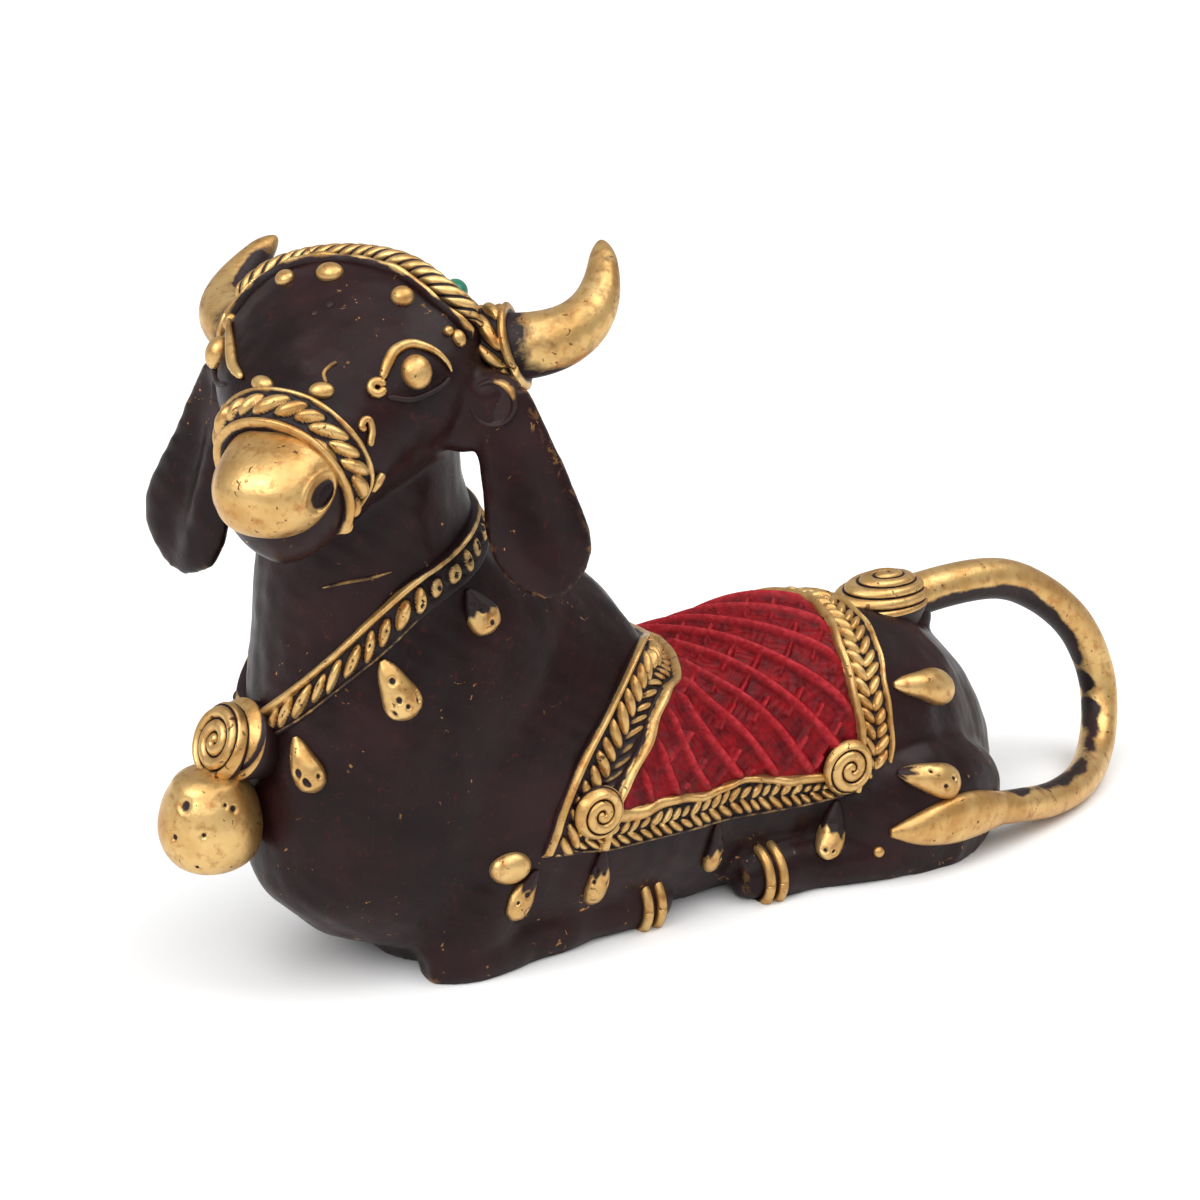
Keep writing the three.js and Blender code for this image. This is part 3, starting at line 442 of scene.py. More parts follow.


# The saddle cloth: a sheet of wax over the back with crossed threads pressed onto it, cast with the body
# and filled with red enamel paint. Its red is painted darker in the cells as painted shade in the recesses,
# and lighter and pinker on the raised threads as a painted highlight.
CLOTH_EDGES = [
    [-30, -22.5, -12, 28.6, 33.5], [-6, -20.4, -11, 29.2, 35], [4, -18, -9.1, 29.7, 35.7],
    [12, -15.6, -5.5, 30, 36.1], [18, -13.4, -3.6, 30, 36.2], [34, -7.2, 0, 30, 36.5],
    [51, -2.3, 4.3, 30.6, 37.9], [68, 1.3, 7, 32, 39.1], [90, 3.8, 9.9, 33.6, 39.8],
]
CLOTH_FOOT = [
    [-20, -6, 3], [-12, -8, 3], [-4, -8, 3.4], [4, -8, 5], [12, -9, 6.5], [20, -10, 3], [28, -8.6, 1],
    [36, -5, 1],
]
CLOTH_THICK, CLOTH_ROOT, THREAD_RISE = 0.4, 0.8, 1.2
STRONG_PITCH, STRONG_APART = 5.8, 4.7
WEAK_PITCH, WEAK_APART = 5.2, 3.7


def outward(surface, place, angle):
    """The unit normal of a form by small steps along and round it, turned away from its middle."""
    reach = 0.02
    middle = (surface(place, 0) + surface(place, pi)) / 2
    along = surface(place + reach, angle) - surface(place - reach, angle)
    round_it = surface(place, angle + reach) - surface(place, angle - reach)
    normal = cross(along, round_it)
    normal /= np.linalg.norm(normal, axis=-1)[..., None] + 1e-12
    out = np.sum(normal * (surface(place, angle) - middle), -1) < 0
    return np.where(out[..., None], -normal, normal)


def hashed(number, seed):
    """A steady random share for each whole number."""
    value = sin(number * 127.1 + seed * 311.7) * 43758.5453
    return value - np.floor(value)


def cloth_grid():
    """The cloth as a grid over the back, and its threads: cosine ridges along two sets of slanted lines, the
    second faint and broken."""
    across = linspace(0, 1, 230)[:, None]
    round_it = linspace(-1, 1, 401)[None]
    side = np.where(round_it < 0, -1, 1)
    up = 1 - np.abs(round_it)
    _, front, rear, _ = between(CLOTH_EDGES, 6 + 84 * up + 0 * across)
    _, foot = between(CLOTH_FOOT, front + (rear - front) * across)
    degrees = foot - 2 + (92 - foot) * up
    _, front, rear, _ = between(CLOTH_EDGES, degrees)
    y = front - 0.4 + (rear - front + 0.8) * across
    angle = radians(degrees)
    base = barrel(y, angle)
    base[..., 0] *= side
    down = np.cumsum(np.linalg.norm(np.diff(base, axis=1, prepend=base[:, :1]), axis=-1), axis=1)
    down = down - down[:, [200]]
    wander = 0.35 * sin(y * 0.31 + 1) + 0.3 * sin(down * 0.23)
    strong = (y - 0.72 * down + wander) / STRONG_PITCH
    weak = (y + down - wander) / WEAK_PITCH
    row, weak_row = np.floor(strong), np.floor(weak)
    off = strong - row - 0.5
    firm = (0.5 + 0.5 * cos(pi * clip(off * STRONG_APART / 1.15, -1, 1))) ** 0.8
    firm = firm * (0.85 + 0.2 * hashed(row, 2))
    laid = hashed(weak_row + 7 * row, 4)
    short = 0.5 + 0.5 * clip(off * np.where(laid > 0.5, 1, -1) * 6, 0, 1)
    faint = 0.5 + 0.5 * cos(pi * clip((weak - weak_row - 0.5) * WEAK_APART / 0.7, -1, 1))
    faint = faint * clip(laid * 1.8 - 0.35, 0, 1) * short * 0.85
    inset = clip(np.minimum(np.minimum(across, 1 - across) * 16, up * 18), 0, 1)
    threads = np.maximum(firm, faint) * inset
    pitted = 0.1 * sin(y * 2.9 + 2 * sin(down * 1.1)) * sin(down * 3.3 + 2 * sin(y * 0.9))
    out = outward(barrel, y, angle)
    out[..., 0] *= side
    top = placed(base, (out, CLOTH_THICK + THREAD_RISE * threads + pitted * (1 - threads)))
    grid = concatenate([top, (base - out * CLOTH_ROOT)[:, ::-1]], 1)
    return grid, concatenate([threads, 0 * threads], 1)


enamel, shader, place = new_finish("red_enamel")
mottle = noise(place, 420, 4, 0.6)
# The cells get a darker red as painted shade. The threads, which are the cloth's gold share, get a lighter
# pinkish red as a painted highlight.
painted_shade_cells = blend(ramp(mottle, 0.35, 0.68), tone(86, 3, 11), tone(142, 8, 21))
edge_wear_and_thread_highlight = blend(ramp(noise(place, 1300, 3), 0.4, 0.7), tone(150, 16, 28), tone(182, 46, 54))
colour = blend(ramp(marked(place, "gold"), 0.25, 0.9), painted_shade_cells, edge_wear_and_thread_highlight)
plug(shader, {
    "Base Color": blend(ramp(noise(place, 760, 2, 0.5, 0.5), 0.68, 0.74, 0, 0.7), colour, tone(60, 4, 10)),
    "Roughness": ramp(mottle, 0.3, 0.7, 0.42, 0.6),
    "Specular IOR Level": 0.18,
    "Normal": bumped(noise(place, 1100, 4, 0.6), 0.6, 0.00025),
})
cast("saddle_cloth", [cloth_grid()], enamel)


# The cloth's borders: along its front, foot and rear edges, wax leaves are laid in one or two rows between
# plain threads. The raised metal is polished to bright brass and the patina stays in the gaps.
brass, shader, place = new_finish("polished_brass")
wear = reckon("MULTIPLY_ADD", noise(place, 480, 4, 0.62, 0.4), 0.7, -0.35)
polish = ramp(reckon("ADD", marked(place, "gold"), wear), 0.22, 0.52)
warm = blend(ramp(noise(place, 160, 3), 0.35, 0.65), tone(188, 144, 84), tone(220, 184, 122))
lit = blend(ramp(noise(place, 700, 3), 0.52, 0.78), warm, tone(168, 112, 62))
spots = ramp(noise(place, 900, 2, 0.5, 0.8), 0.67, 0.72, 0, 0.8)
lit = blend(spots, lit, tone(70, 40, 22))
plug(shader, {
    "Base Color": blend(polish, patina_colour(place), lit),
    "Metallic": ramp(polish, 0, 1, 0, 0.85),
    "Roughness": ramp(polish, 0, 1, 0.5, 0.38),
    "Specular IOR Level": 0.3,
    "Normal": bumped(reckon("MULTIPLY_ADD", spots, -0.5, noise(place, 800, 4, 0.6)), 0.45, 0.0002),
})
BORDER_STEP = 0.16
BAND_END = 0.8


def laid_band(surface, first, second, profile, step=0.22, under=0.9):
    """A band of threads on a form between two edge lines, each a list of places and angles in degrees.
    Profile takes distances along and across in mm, the width and the share along, and gives lift and
    gold. The lift goes out along the form's normal and fades at the band's ends."""
    shares = [np.column_stack([linspace(0, 1, len(line)), radians(line) * [180 / pi, 1]])
              for line in (first, second)]
    fine = linspace(0, 1, 500)
    edges = [surface(*between(table, fine)) for table in shares]
    middle = (edges[0] + edges[1]) / 2
    length = concatenate([[0], np.cumsum(np.linalg.norm(np.diff(middle, axis=0), axis=1))])
    count = int(length[-1] / step)
    along = linspace(0, length[-1], count)
    share = np.interp(along, length, fine)
    width = np.interp(share, fine, np.linalg.norm(edges[0] - edges[1], axis=1))
    columns = max(int(width.max() / step), 8)
    across = linspace(0, 1, columns)[None]
    rails = zip(*(between(table, share) for table in shares))
    place, angle = (a[:, None] * (1 - across) + b[:, None] * across for a, b in rails)
    lift, gold = profile(along[:, None], across * width[:, None], width[:, None], share[:, None])
    lift = lift * clip(np.minimum(along, length[-1] - along), 0, BAND_END)[:, None] / BAND_END
    base, out = surface(place, angle), outward(surface, place, angle)
    low = (base + out * -under)[:, ::-1][:, ::columns - 1]
    return concatenate([placed(base, (out, lift)), low], 1), np.pad(gold, ((0, 0), (0, 2)))


def plain_thread(across, centre, half):
    """The round back of a plain thread: the height of a circle's edge at a distance from its middle."""
    return np.sqrt(clip(1 - ((across - centre) / half) ** 2, 0, 1))


def leaf_row(along, across, centre, half, pitch, slant, seed, fill):
    """Heights of a row of wax leaves: slanted ovals a pitch apart, a little uneven in place and size."""
    turn = (along + slant * (across - centre)) / pitch + 0.1 * sin(along * 0.8 + seed)
    number = np.floor(turn)
    off = turn - number - 0.5
    half = half * (0.84 + 0.3 * hashed(number, seed))
    reach = 1 - np.abs(2 * off / fill) ** 2.2 - np.abs((across - centre) / half) ** 2.2
    return np.sqrt(clip(reach, 0, 1)) * (0.8 + 0.25 * hashed(number, seed + 3))


def bared(height, start, gain):
    """How far metal is rubbed bare: from nothing at a start, up at a gain, held at one."""
    return clip((height - start) * gain, 0, 1)


def relief(gain, *heights):
    """The highest of several forms over a thin sheet of 0.1 mm, rubbed bare from 0.3 mm up."""
    lift = np.maximum.reduce(np.broadcast_arrays(*heights, 0.1))
    return lift, bared(lift, 0.3, gain)


def front_section(along, across, width, run):
    """Front border: outer thread, slanted leaves, a groove with fainter ones, thick inner thread."""
    faint = leaf_row(along, across, 0.66 * width, 0.14 * width, 1.95, -0.6, 4, 0.8)
    return relief(
        1.6, plain_thread(across, 0.7, 0.6) * 1.2, faint * clip(0.25 + 1.1 * run, 0.3, 1),
        leaf_row(along, across, 0.37 * width, clip(0.23 * width, 1, 1.7), 1.95, 1.0, 1, 0.86) * 1.3,
        plain_thread(across, width - 0.75 + 0.12 * sin(along * 0.9), 0.7) * 1.4)


def foot_section(along, across, width, run):
    """Foot border: thin low thread, a row of leaves, a fainter row above it, and a broken thick thread."""
    top = plain_thread(across, width - 0.8 + 0.3 * sin(along * 0.5), 0.75) * 1.35
    return relief(
        1.6, plain_thread(across, 0.4, 0.4) * 0.5,
        leaf_row(along, across, 0.3 * width, 0.19 * width, 1.7, 0.8, 2, 0.86) * 1.2,
        leaf_row(along, across, 0.6 * width, 0.15 * width, 1.7, -0.8, 6, 0.8) * 0.95,
        top * (0.85 + 0.15 * sin(along * 1.3)))


def rear_section(along, across, width, run):
    """Rear border: thick inner thread, two rows of leaves set like a feather's barbs, thin outer one."""
    return relief(
        1.6, plain_thread(across, 0.75 + 0.12 * sin(along * 0.8), 0.7) * 1.4,
        leaf_row(along, across, 0.36 * width, 0.18 * width, 2, 0.85, 3, 0.98) * 1.3,
        leaf_row(along, across, 0.67 * width, 0.18 * width, 2, -0.85, 5, 0.98) * 1.3,
        plain_thread(across, width - 0.45 + 0.08 * sin(along * 1.1), 0.42))


def cast_bright(name, tubes):
    """One piece of polished relief."""
    cast(name, tubes, brass)


def on_flank(side, degrees):
    """Angles round the barrel from its left side, or mirrored for its right one."""
    return degrees if side > 0 else 180 - degrees


angles = array([-8, 0, 8, 16, 26, 38, 52, 68, 84, 92])
edge = between(CLOTH_EDGES, angles)
ys = linspace(-16, 32, 10)
foot = between(CLOTH_FOOT, ys)
bands = []
for side in (1, -1):
    rising = [np.column_stack([line, on_flank(side, angles)]) for line in edge]
    level = [np.column_stack([ys, on_flank(side, line)]) for line in foot]
    bands += [laid_band(barrel, *rising[:2], front_section, BORDER_STEP),
              laid_band(barrel, *rising[2:], rear_section, BORDER_STEP),
              laid_band(barrel, *level, foot_section, BORDER_STEP)]
cast_bright("cloth_borders", bands)


# Wound coils: a wax thread rolled up flat at each lower corner of the cloth, and a large oval one wound over
# a lump of wax where the tail leaves the back. All are brass, cast with the body and polished.
CORNER_THREAD, TAIL_THREAD, TAIL_DOME_RISE = 1.3, 0.75, 4.1


def squared(centre, out):
    """A seat from a point and the way out there: arrows across and up lie square to the way out."""
    across = unit(cross(UPRIGHT, out))
    return centre, across, cross(out, across), out


def seat(surface, place, degrees):
    """The seat at a place on a form."""
    place, angle = np.float64(place), radians(degrees)
    return squared(surface(place, angle), outward(surface, place, angle))


def disc(base, wide, high, angle, height, aside=0.0):
    """Points round a seat: ovals laid across and up on it and lifted outwards by a height."""
    centre, across, up, out = base
    up_by = high * sin(angle) + aside
    return placed(centre, (across, wide * cos(angle)), (up, up_by), (out, height))


def wound(turn):
    """The round back of a thread in each turn: the root of one minus a power of the distance off it."""
    return np.sqrt(clip(1 - np.abs((turn - np.floor(turn) - 0.5) * 2) ** 2.2, 0, 1))


def wound_coil(base, wide, high, turns, thick, start, sink=1.2, lift=0.0):
    """A flat coil: a disc in polar steps whose height is the thread's round back, turn after turn, with a
    skirt sunk into the form."""
    angle = circle(140)
    share = np.append(linspace(0.01, 1, 90), 1)[:, None]
    ridge = wound(share * turns - (angle + start) / (2 * pi))
    edge = clip((1 - share) * turns * 2, 0, 1) ** 0.5
    height = lift + thick * (0.35 + 0.65 * ridge) * edge + 0.3 * (1 - share**2)
    height[-1] = -sink
    gold = np.where(share < 0.999, ridge, 0)
    share[-1] = 0.78
    return disc(base, wide * share, high * share, angle, height), bared(gold, 0.38, 2)


def domed_coil(base, wide, high, rise, turns, thick):
    """A coil wound over a dome: half an ellipsoid in polar steps, raised by the thread's round back, turn
    after turn from the crown to the rim."""
    angle = circle(150)
    share = np.append(linspace(0.01, 1, 120), 1)[:, None]
    ridge = wound(share * turns - angle / (2 * pi))
    ring, stand = sin(share * pi / 2), cos(share * pi / 2)
    ring[-1] = 0.78
    thread_rise = thick * ridge
    height = stand * (rise + thread_rise)
    height[-1] = -4
    return (disc(base, ring * (wide + thread_rise), ring * (high + thread_rise), angle, height, 1.3 * stand),
            bared(ridge, 0.45, 2.4) * (share < 0.99))


coils = []
for side in (1, -1):
    for y, radius, start in ((-12.8, 3.6, 0.5), (28, 3.9, 2.5)):
        base = seat(barrel, y, on_flank(side, 3))
        coils.append(wound_coil(base, radius, radius, 2.4, CORNER_THREAD, start * side, lift=1))
level = (array([0.3, 46.4, 31.2]), *np.eye(3))
coils.append(domed_coil(level, 4.8, 7.3, TAIL_DOME_RISE, 4.6, TAIL_THREAD))
cast_bright("wound_coils", coils)


# Drops and beads: pear-shaped pellets of wax pressed on below and behind the cloth, on the knees and under
# the collar. They cast with small holes, and the dark patina stays in those.
PEAR = [[0, 0.16], [0.14, 0.48], [0.38, 0.8], [0.66, 1], [0.88, 0.84], [0.97, 0.42], [1, 0.1]]
PEAR_ROWS, PEAR_SIDES = 70, 64


def on_skin(point):
    """The nearest point of the body's skin in mm, and the skin's unit normal there."""
    place, normal, _, _ = skin_tree.find_nearest(Vector(np.asarray(point) * MM))
    return array(place) / MM, array(normal)


def pear(start, end, wide, pits, seed):
    """A pear drop laid on the skin: rings along a bent axis, sized by a table of shares, with small pits."""
    (a, _), (b, _) = on_skin(start), on_skin(end)
    middle, out = on_skin((a + b) / 2)
    length = np.linalg.norm(b - a)
    share = crowded(0, 1, PEAR_ROWS)[:, None]
    angle = circle(PEAR_SIDES)
    size = between(PEAR, share)[0] * (1 + 0.05 * sin(angle * 2 + seed) * sin(share * 9 + seed))
    polish = np.ones(size.shape)
    for k in range(pits):
        at, turn = 0.25 + 0.65 * hashed(k, seed), pi * (0.12 + 0.76 * hashed(k, seed + 9))
        apart = np.hypot((share - at) * length, (angle - turn) * size * wide / 2)
        pit = hump(apart, 0.3 + 0.25 * hashed(k, seed + 5), 4)
        size = size * (1 - 0.22 * pit)
        polish = polish - pit
    axis = a * (1 - share[..., None]) ** 2 + b * share[..., None] ** 2
    axis = axis + (2 * middle - (a + b) / 2) * 2 * share[..., None] * (1 - share[..., None])
    return placed(axis, (unit(cross(b - a, out)), size * wide / 2 * cos(angle)),
                  (out, size * wide * 0.4 * sin(angle) + 0.25)), polish


def bead(base, wide, high, rise):
    """A round pellet on a seat: a dome with a skirt sunk into the form."""
    turn = np.append(pi / 2, linspace(pi / 2, 0.03, 16))[:, None]
    angle = circle(28)
    height = rise * cos(turn) + 0 * angle
    height[0] = -0.8
    return disc(base, wide * sin(turn), high * sin(turn), angle, height)


# Each drop: its thin end, its round end, its width, its number of pits, and how far it is rubbed bright.
DROPS = [
    ([13.2, -28, 51.9], [14.8, -25.5, 46.4], 4.4, 3, 0.55),
    ([12.9, -39.7, 45.1], [15, -37.1, 37.7], 4.7, 6, 1),
    ([6.9, -48.4, 35.1], [9.2, -46.9, 28.4], 4.1, 8, 1),
    ([17.6, -21.1, 14.3], [17, -24.5, 8], 3.6, 3, 0.7),
    ([18.3, -11.4, 15.2], [16.2, -12.2, 6.7], 3.2, 4, 0.65),
    ([16.9, 7.4, 13.7], [14.6, 7.5, 5.7], 2.8, 5, 0.5),
    ([17, 27.2, 12], [17.4, 24.6, 3.9], 3.9, 4, 0.55),
    ([19.6, 35.2, 15], [21.6, 44.2, 11.7], 4.8, 3, 0.9),
    ([15, 37.7, 25.7], [13.9, 48.2, 22.3], 5.1, 0, 1),
]
drops = []
for side in (1, -1):
    mirror = array([side, 1, 1])
    turn = np.arange(PEAR_SIDES) * pi / 32
    for k, (start, end, wide, pits, shine) in enumerate(DROPS):
        grid, polish = pear(start * mirror, end * mirror, wide, pits, k * side)
        below = crowded(0, 1, PEAR_ROWS)[:, None] - 1.1 * (1 - shine)
        below = below + 0.07 * sin(2 * turn + k) + 0.04 * sin(7 * turn)
        drops.append((grid, polish * clip(below * 4 + (1 if shine == 1 else 0.3), 0, 1)))
    for point, wide, high, shine in (
        ([17.3, -24.7, 15.4], 2.8, 2.2, 0.9), ([19.7, 31.9, 4.4], 0.8, 0.8, 0.8),
    ):
        drops.append((bead(squared(*on_skin(point * mirror)), wide, high, high * 0.8), shine))
cast_bright("drops", drops)


# The collar: one row of wax leaves between two plain threads, laid round the neck and low on the chest. It
# is cast with the body; its brass is rubbed bright in front and stays dark where the hand doesn't reach.
COLLAR = [
    [0, 36.2, 31.8], [23, 42, 36.6], [42, 47, 41.6], [60, 51.2, 46], [78, 54.3, 49.8], [100, 56.6, 52.6],
    [140, 59.5, 55.5], [180, 61, 57],
]
COLLAR_PITCH = 2.7
COLLAR_SAG = 27


def plait_section(along, across, width, run):
    """A plait: slanted leaves, each with a pit, between two plain threads."""
    leaves = leaf_row(along, across, 0.56 * width, 0.29 * width, COLLAR_PITCH, 0.5, 7, 0.8)
    off = across - 0.56 * width
    aside = hashed(np.floor(along / COLLAR_PITCH + 0.5), 2) * 1.2 - 0.6
    pit = hump(np.hypot(np.mod(along + 0.5 * off, COLLAR_PITCH) - COLLAR_PITCH / 2, off - aside), 0.3, 4)
    fat = 0.3 * hump(run - 0.53, 0.035)
    lift, _ = relief(1, plain_thread(across, 0.65 + fat, 0.6 + fat) * (1.1 + fat),
                     plain_thread(across, width - 0.4, 0.35) * 0.5, leaves * (1.5 - 0.5 * pit))
    unworn = clip((np.abs(run - 0.5) - 0.2) * 14, 0, 0.55) + 0.9 * hump(run - 0.42, 0.04)
    return lift, clip((lift - 0.3) * 1.5 - pit, 0, 1) - unworn


turns = linspace(-182, 182, 61)
sag = np.where(turns < 0, COLLAR_SAG * sin(radians(clip(-turns * 2, 0, 180))), 0)
top, low = between(COLLAR, np.abs(turns) - sag)
edges = [np.column_stack([line, turns - 90]) for line in (top, low)]
cast_bright("collar", [laid_band(column, *edges, plait_section)])


# Pendant and bell: a coil of thread on a disc, on the chest where the collar meets, and under it a
# pear-shaped bell with casting holes. Both are wax forms cast with the body and polished all over.
TILT, TURN = radians([24, 8])
facing = towards(TURN, TILT)
cast_bright("pendant", [
    wound_coil(squared(array([0.5, -53.2, 33.5]), facing), 5.4, 5.2, 1.2, 1.1, 0.4, 5),
    wound_coil(squared(array([-0.3, -55, 33.2]), facing), 4.8, 5.1, 2.9, 1.5, 2, 2.4)])

BELL = [[16.9, 0.3], [17.3, 2.8], [18.9, 5.2], [22, 6.4], [25.4, 6.1], [28, 5], [29.8, 3.4], [30.4, 0.4]]
BELL_MIDDLE = -57.3
z = crowded(BELL[0][0], BELL[-1][0], 110)[:, None]
angle = circle(140)
radius = between(BELL, z)[0] * (1 + 0.012 * sin(3 * angle + z * 0.6))
polish = np.ones(radius.shape)
for turn, level, size in (
    (7, 26.8, 0.5), (-33, 24.2, 0.4), (-70, 23.4, 0.45), (-59, 27.4, 0.8), (-3, 27.4, 0.3),
    (-45, 19.6, 0.3), (160, 24, 0.5), (110, 21, 0.4),
):
    apart = radius * (np.mod(angle - radians(turn) + pi, 2 * pi) - pi)
    pit = hump(np.hypot(apart, z - level), size, 4)
    radius = radius - 0.4 * pit
    polish = polish - pit
bell = np.stack([radius * cos(angle), BELL_MIDDLE + radius * sin(angle), z + 0 * angle], -1)
stub = limb([[0, -46, 23, 2, 2.6], [0, -50, 23, 2, 2.6], [0, -54, 23, 2, 2.4]], 12, 20)
cast_bright("bell", [(bell, polish), (stub, 0.0)])


# The crown rope and the noseband: over the head from horn to horn a plain thread with a twisted rope of
# threads behind it, and round the muzzle behind the polished nose a plait of leaves.
ROPE_RADIUS, ROPE_STRANDS, STRAND_PITCH = 1.32, 4, 1.8


def wire_section(along, across, width, run):
    """The thread in front of the crown rope: plain, with a few low stretches."""
    lift = plain_thread(across, 0.5, 0.48) * (0.95 + 0.25 * sin(along * 0.9) * sin(along * 0.37))
    return np.maximum(lift, 0.1), bared(lift, 0.6, 2)


def twisted_rope(path, lift):
    """A rope of wax threads laid on the head: a tube along a path of places and angles in degrees, grooved
    by as many helices as it has strands."""
    place, degrees = along_rows(path, 500)
    angle = radians(degrees)
    out = outward(head, place, angle)
    centre = head(place, angle) + out * lift
    ahead = np.gradient(centre, axis=0)
    length = np.cumsum(np.linalg.norm(ahead, axis=1))[:, None]
    side = unit(cross(ahead, out))
    turn = circle(40)
    ridge = wound(length / STRAND_PITCH + 0.12 * sin(length * 0.7) - ROPE_STRANDS * turn / (2 * pi))
    thinned = clip(np.minimum(length, length[-1] - length) / 2.5, 0.35, 1)
    size = ROPE_RADIUS * thinned * (0.68 + 0.32 * ridge)
    return placed(centre[:, None], (side[:, None], size * cos(turn)),
                  (out[:, None], size * sin(turn))), bared(ridge, 0.6, 3)


crown_front = array([
    [3, 16], [3, 28], [2.4, 45], [1, 60], [0, 74], [-0.6, 90], [-0.8, 107], [-0.4, 122], [1, 134],
    [3.2, 146], [4.6, 158],
])
wire = laid_band(head, crown_front, crown_front - [1.2, 0], wire_section)
cast_bright("crown_rope", [wire, twisted_rope(crown_front - [2.7, 0], 0.5)])


def noseband_section(along, across, width, run):
    """The noseband: plump leaves, laid flatter towards the left cheek, between a thin and a thick thread."""
    slant = -0.7 - 0.35 * clip((0.55 - run) / 0.25, 0, 1)
    return relief(1.5, plain_thread(across, 0.4, 0.38) * 0.75, plain_thread(across, width - 0.6, 0.6) * 1.2,
                  leaf_row(along, across, 0.44 * width, 0.26 * width, 2.55, slant, 11, 1) * 1.4)


noseband_rear = [
    [26.4, -36], [24.9, -25], [21.8, -8], [21, 20], [20.3, 48], [19.3, 76], [18.6, 109], [18.6, 137],
    [18.8, 160], [19.2, 180], [20.8, 210], [23.4, 228],
]
noseband_front = [
    [27, -36], [26.5, -25], [25.8, -6], [25.5, 25], [25.1, 53], [24.7, 79], [24.2, 112], [23.9, 137],
    [23.7, 160], [23.8, 180], [24.6, 210], [25.4, 228],
]
cast_bright("noseband", [laid_band(head, noseband_rear, noseband_front, noseband_section)])


# The nose: a dome of solid wax that closes the muzzle above the mouth, with a nostril bored on each side.
# It is cast with the head and is the most polished part of the figure.
NOSE_REAR, NOSE_TIP = 22, 34.19
NOSE_HALF_WIDTH, NOSE_UP, NOSE_DOWN = 7.1, 5.45, 5
NOSTRIL_DEPTH = 2


def nose_dome():
    """The nose: ovals drawn in to a rounded end; each nostril is an oval bored in where a slanted drill
    meets the dome, and its rim is pushed up by a smooth bell curve."""
    nose = crowded(NOSE_REAR, NOSE_TIP, 150)[:, None]
    angle = circle(200)
    drawn = rounded_end((nose - 25.4) / 8.8, 2.7)
    across, height = oval(angle, NOSE_HALF_WIDTH * drawn, NOSE_UP * drawn, NOSE_DOWN * drawn, 2.35)
    left = across + 0.35 + 0.1 * sin(height * 1.1 + nose)
    reach, crown = nose + 0 * angle, height - 1.3
    gold = clip(1.15 - 0.35 * clip(-height - 3, 0, 2), 0, 1)
    for side in (1, -1):
        sideways = 0.93 * side * left - 0.33 * reach - 0.15 * crown + 2.8
        upward = 0.73 * crown - 0.67 * reach - 0.13 * side * left + 20.8
        away = np.sqrt(((sideways - 0.35 * upward) / 1.05) ** 2 + (upward / 1.8) ** 2)
        hole = hump(away, 1, 4)
        push = 0.22 * hump(away - 1.4, 0.3) - NOSTRIL_DEPTH * hole
        left, reach, crown = left + side * 0.34 * push, reach + 0.66 * push, crown + 0.67 * push
        gold = gold * (1 - clip(hole * 1.6 - 0.1, 0, 1))
    return on_head(left, reach, crown), gold


cast_bright("nose", [nose_dome()])


# Eyes, brows and head beads: an oval pellet for each eye with a thread bent over it, small beads on the
# forehead and along the noseband. All are wax pressed on by hand, cast in brass and rubbed bright.
def thread(points, radius):
    """A thread of wax through points: a circle carried along a smooth path, with closed round ends.
    The radius is one number or one for each point."""
    points = np.asarray(points)
    number = np.arange(len(points))
    size = np.interp(linspace(0, number[-1], 60), number, radius * np.ones(len(points)))
    size = size * np.sqrt(clip(1 - np.abs(linspace(-1, 1, 60)) ** 12, 0.02, 1))
    return swept(np.stack(along_rows(points, 60), -1), size, size, HEAD_CENTRE - points.mean(0), 14)


def pressed(left, nose, crown):
    """The seat on the head nearest to a point given along the head's three directions."""
    angle = radians(np.arange(0, 360, 0.5))
    away = np.linalg.norm(head(np.float64(nose), angle) - on_head(left, nose, crown), axis=-1)
    return seat(head, nose, np.degrees(angle[away.argmin()]))


def laid_thread(side, points, radius, lift=0.3):
    """A thread pressed onto one side of the head through points given along its three directions."""
    seats = [pressed(side * left, nose, crown) for left, nose, crown in points]
    return thread([centre + out * lift for centre, _, _, out in seats], radius)


NEAR_BROW = [[9.6, 14.4, 4.1], [9.8, 12.2, 5.1], [10.3, 10.5, 5.7], [11.7, 8.9, 5.6], [13.7, 8.2, 4.2],
             [15, 8.3, 2.7], [15.6, 8.7, 1.6]]
FAR_BROW = [[7.3, 16.3, 4.6], [9.6, 14.2, 4.6], [10.8, 12, 4.9], [12, 9.8, 5], [13, 7.8, 4.9],
            [13.9, 6, 4.6], [14.6, 5.4, 4]]
BROW_RADII = array([0.55, 0.66, 0.66, 0.55, 0.4, 0.27, 0.16])
LID = [[15.5, 9.2, 1.2], [14.9, 10.9, 1], [12.9, 13.8, 1.5], [10.4, 15.4, 2.8]]
FOREHEAD_CURL = [[4.1, 17, 5.5], [3.5, 15.9, 5.9], [3.9, 14.8, 6.1], [4.5, 14.2, 6.2]]
CHEEK_HOOK = [[9.6, 20.6, -0.3], [9.7, 20.1, 0.1], [9.6, 19.2, 0.9], [9.3, 18.6, 1.8], [8.8, 19, 2.1],
              [8.8, 19.8, 1.8], [9.2, 19.7, 1.3]]
CHEEK_PELLET = [[9.2, 22, -5.9], [9.8, 21.2, -5.1], [10.1, 20.3, -4.4]]
trims = []
for side, brow, eye in ((1, NEAR_BROW, [12.8, 11.4, 3.6]), (-1, FAR_BROW, [-14.4, 9.6, 2.4])):
    trims += [(bead(pressed(*eye), 1.85, 2.1, 1.5), 1.0), (laid_thread(side, LID, 0.35, 0.1), 0.1),
              (laid_thread(side, brow, BROW_RADII), 1.0)]
    if side > 0:
        centre, across, up, out = pressed(9.3, 15.2, 3.8)
        turn = linspace(0, 2 * pi, 9)
        ring = centre + out * 0.4 + np.outer(cos(turn), across) * 0.75 + np.outer(sin(turn), up) * 0.75
        trims.append((thread(ring, 0.5), 1.0))
